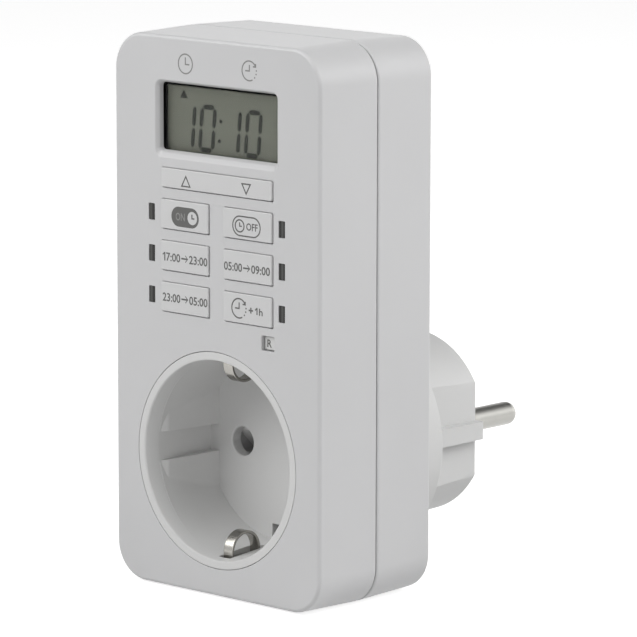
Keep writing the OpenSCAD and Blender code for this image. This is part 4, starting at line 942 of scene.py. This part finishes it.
def figure(right, strokes):
    """A seven-segment figure whose right-hand strokes stand at x = right; strokes names them a to f."""
    top, low, gap = digit_mid + digit_half, digit_mid - digit_half, 0.14
    left = right - digit_w
    ends = {"a": ((left + gap, top), (right - gap, top)), "b": ((right, top - gap), (right, digit_mid + gap)),
            "c": ((right, digit_mid - gap), (right, low + gap)), "d": ((left + gap, low), (right - gap, low)),
            "e": ((left, digit_mid - gap), (left, low + gap)),
            "f": ((left, top - gap), (left, digit_mid + gap))}
    return [patch for s in strokes for patch in segment(*ends[s])]


figures = figure(-8.6, "bc") + figure(-3.05, "abcdef") + figure(3.84, "bc") + figure(9.46, "abcdef")
colon = [circle(x, z, 0.42, 20) for x, z in ((-1.12, 67.35), (-1.52, 63.4))]
for loop in (*colon, np.array([(-12.4, 71.15), (-10.2, 71.15), (-11.3, 73.0)])):
    figures += on_glass(loop)
segment_ink = moulded("display_segments", (0.018, 0.019, 0.016), (0.024, 0.025, 0.021), rough=(0.3, 0.4),
                      bump=0.02, Specular_IOR_Level=0.15)
piece("lcd_segments", figures, "housing", segment_ink, sharp=60)

display_glass = moulded("display_glass", (0.126, 0.129, 0.105), (0.115, 0.118, 0.097), rough=(0.3, 0.4),
                        bump=0.02, Specular_IOR_Level=0.15)
clear_window = moulded("clear_window", (0.97, 0.98, 0.975), (0.955, 0.965, 0.96), rough=(0.0, 0.02),
                       bump=0.0, Transmission_Weight=1.0, IOR=1.12)


def dress(finish, *names):
    """Gives CAD nodes that stay as they are their finish."""
    for name in names:
        for held in node[name].material_slots:
            held.material = finish


dress(display_glass, "lcd_glass")
dress(clear_window, "display_window")


# ---------- shutter, contacts and what holds them ----------
# Behind the recess a grey shutter lies over the holes, pushed down by a spring. Two sprung brass sleeves
# take a plug's pins; a carrier of darker plastic holds them, and bars lead the current away.
grey_carrier = moulded("grey_carrier", (0.5, 0.5, 0.5), (0.44, 0.44, 0.445), rough=(0.4, 0.55))
contact_brass = brushed("contact_brass", (0.66, 0.47, 0.24), (0.52, 0.35, 0.16), (0.25, 0.42),
                        (900, 900, 7000))
zinc_steel = brushed("zinc_steel", (0.60, 0.60, 0.59), (0.48, 0.48, 0.475), (0.28, 0.45), (3000, 700, 3000))
shutter_grey = moulded("shutter_grey", (0.7, 0.7, 0.69), (0.64, 0.64, 0.63), rough=(0.4, 0.5))
dress(grey_carrier, "contact_carrier")
dress(shutter_grey, "contact_shutter")
dress(contact_brass, "live_contact", "neutral_contact", "live_busbar", "switched_busbar", "neutral_busbar",
      "relay_contacts")
dress(nickel_plate, "earth_strap", "plug_earth_strips", "battery_tabs")
dress(zinc_steel, "housing_screws", "core_screws", "board_screws", "power_screws", "crystal",
      "backup_battery", "relay_yoke", "relay_armature")
coil_low, coil_high, coil_out, wire_r, coil_turns, shutter_travel = 4.65, 14.55, 2.0, 0.225, 8, 6.0
coil_depth = 23.0


def spring(per_turn=28, around=8):
    """A coil spring about an upright line: a wire goes round it at an even slope, and the slope is small
    over the first and last turn, which lie closed. Each ring of the wire is a circle in the plane of the
    line."""
    turn = np.linspace(0, coil_turns, coil_turns * per_turn + 1)[:, None]
    span = coil_high - coil_low - 2 * wire_r
    rise = np.interp(turn, (0, 1, coil_turns - 1, coil_turns), (0, 2.1 * wire_r, span - 2.1 * wire_r, span))
    around_wire = np.arange(around) * 2 * math.pi / around
    reach = coil_out - wire_r + wire_r * np.cos(around_wire)
    angle = 2 * math.pi * turn
    height = coil_low + wire_r + rise + wire_r * np.sin(around_wire)
    return capped(np.stack([reach * np.cos(angle), coil_depth + reach * np.sin(angle), height], 2))


coil = piece("shutter_coil", spring(), "housing", zinc_steel, ["shutter_spring"])
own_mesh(coil)


# ---------- boards and what is soldered to them ----------
# Two circuit boards of green lacquered glass fibre: the front one carries the keys' contacts and the display,
# the rear one the relay and the supply. Copper tracks show through the lacquer as paler lines.
def board_finish(name, lacquer, over_copper, pitch=780.0, width=0.62):
    """Green lacquer, paler along tracks: tracks are the crests of waves across x and across z, each shown
    only where a coarse noise lets it run, so that they come and go."""
    mat = moulded(name, lacquer, tuple(0.8 * c for c in lacquer), rough=(0.25, 0.4), bump=0.06,
                  cloud_size=90.0)
    tree, colour = mat.node_tree, mat.node_tree.nodes["Principled BSDF"].inputs["Base Color"]
    place = add(tree, "TexCoord").outputs["Object"]
    masks = []
    for direction, coarse, let in (("X", 110.0, 0.5), ("Z", 132.2, 0.5185)):
        wave = add(tree, "TexWave", ("bands_direction", direction), Vector=place, Scale=pitch / math.tau)
        where = add(tree, "TexNoise", Vector=place, Scale=coarse, Detail=0.0)
        crest, run = (add(tree, "Math", ("operation", "GREATER_THAN"), _0=source.outputs["Fac"],
                          _1=limit).outputs[0] for source, limit in ((wave, width), (where, let)))
        masks.append(add(tree, "Math", ("operation", "MULTIPLY"), _0=crest, _1=run).outputs[0])
    mask = add(tree, "Math", ("operation", "MAXIMUM"), _0=masks[0], _1=masks[1]).outputs[0]
    tracks = add(tree, "Mix", ("data_type", "RGBA"), Factor=mask, A=colour.links[0].from_socket,
                 B=(*over_copper, 1))
    tree.links.new(tracks.outputs["Result"], colour)
    return mat


def wound(name, pale, deep, turns_per_metre, direction):
    """Enamelled wire laid turn by turn: a wave across the winding gives the tone and the relief of each
    turn."""
    mat = moulded(name, pale, deep, rough=(0.25, 0.35))
    tree, shader = mat.node_tree, mat.node_tree.nodes["Principled BSDF"]
    place = add(tree, "TexCoord").outputs["Object"]
    wave = add(tree, "TexWave", ("bands_direction", direction), Vector=place, Scale=turns_per_metre * 0.314)
    relief, tone = shader.inputs["Normal"].links[0].from_node, shader.inputs["Base Color"].links[0].from_node
    relief.inputs["Strength"].default_value = 0.6
    tree.links.new(wave.outputs["Fac"], relief.inputs["Height"])
    tree.links.new(wave.outputs["Fac"], tone.inputs["Factor"])
    return mat


dress(board_finish("circuit_board", (0.03, 0.15, 0.06), (0.07, 0.26, 0.10)), "control_board", "power_board")
dress(wound("coil_winding", (0.55, 0.21, 0.08), (0.38, 0.12, 0.045), 5500, "X"), "relay_coil")
for name, pale, deep, rough, wearers in (
        ("led_package", (0.82, 0.80, 0.68), (0.76, 0.74, 0.60), (0.15, 0.3), ["indicator_leds"]),
        ("relay_cover", (0.76, 0.76, 0.75), (0.71, 0.71, 0.70), (0.3, 0.42), ["relay_case"]),
        ("film_yellow", (0.67, 0.44, 0.055), (0.58, 0.36, 0.04), (0.25, 0.35), ["suppression_capacitor"]),
        ("sleeve_blue", (0.032, 0.085, 0.31), (0.025, 0.065, 0.25), (0.2, 0.35),
         ["smoothing_capacitor", "varistor"]),
        ("resistor_green", (0.19, 0.37, 0.21), (0.15, 0.31, 0.17), (0.5, 0.65), ["fuse_resistor"])):
    dress(moulded(name, pale, deep, rough), *wearers)
dress(silicone, "lcd_connectors")
dress(black_plastic, "microcontroller", "relay_base", "board_link", "bridge_diodes", "carbon_pills")
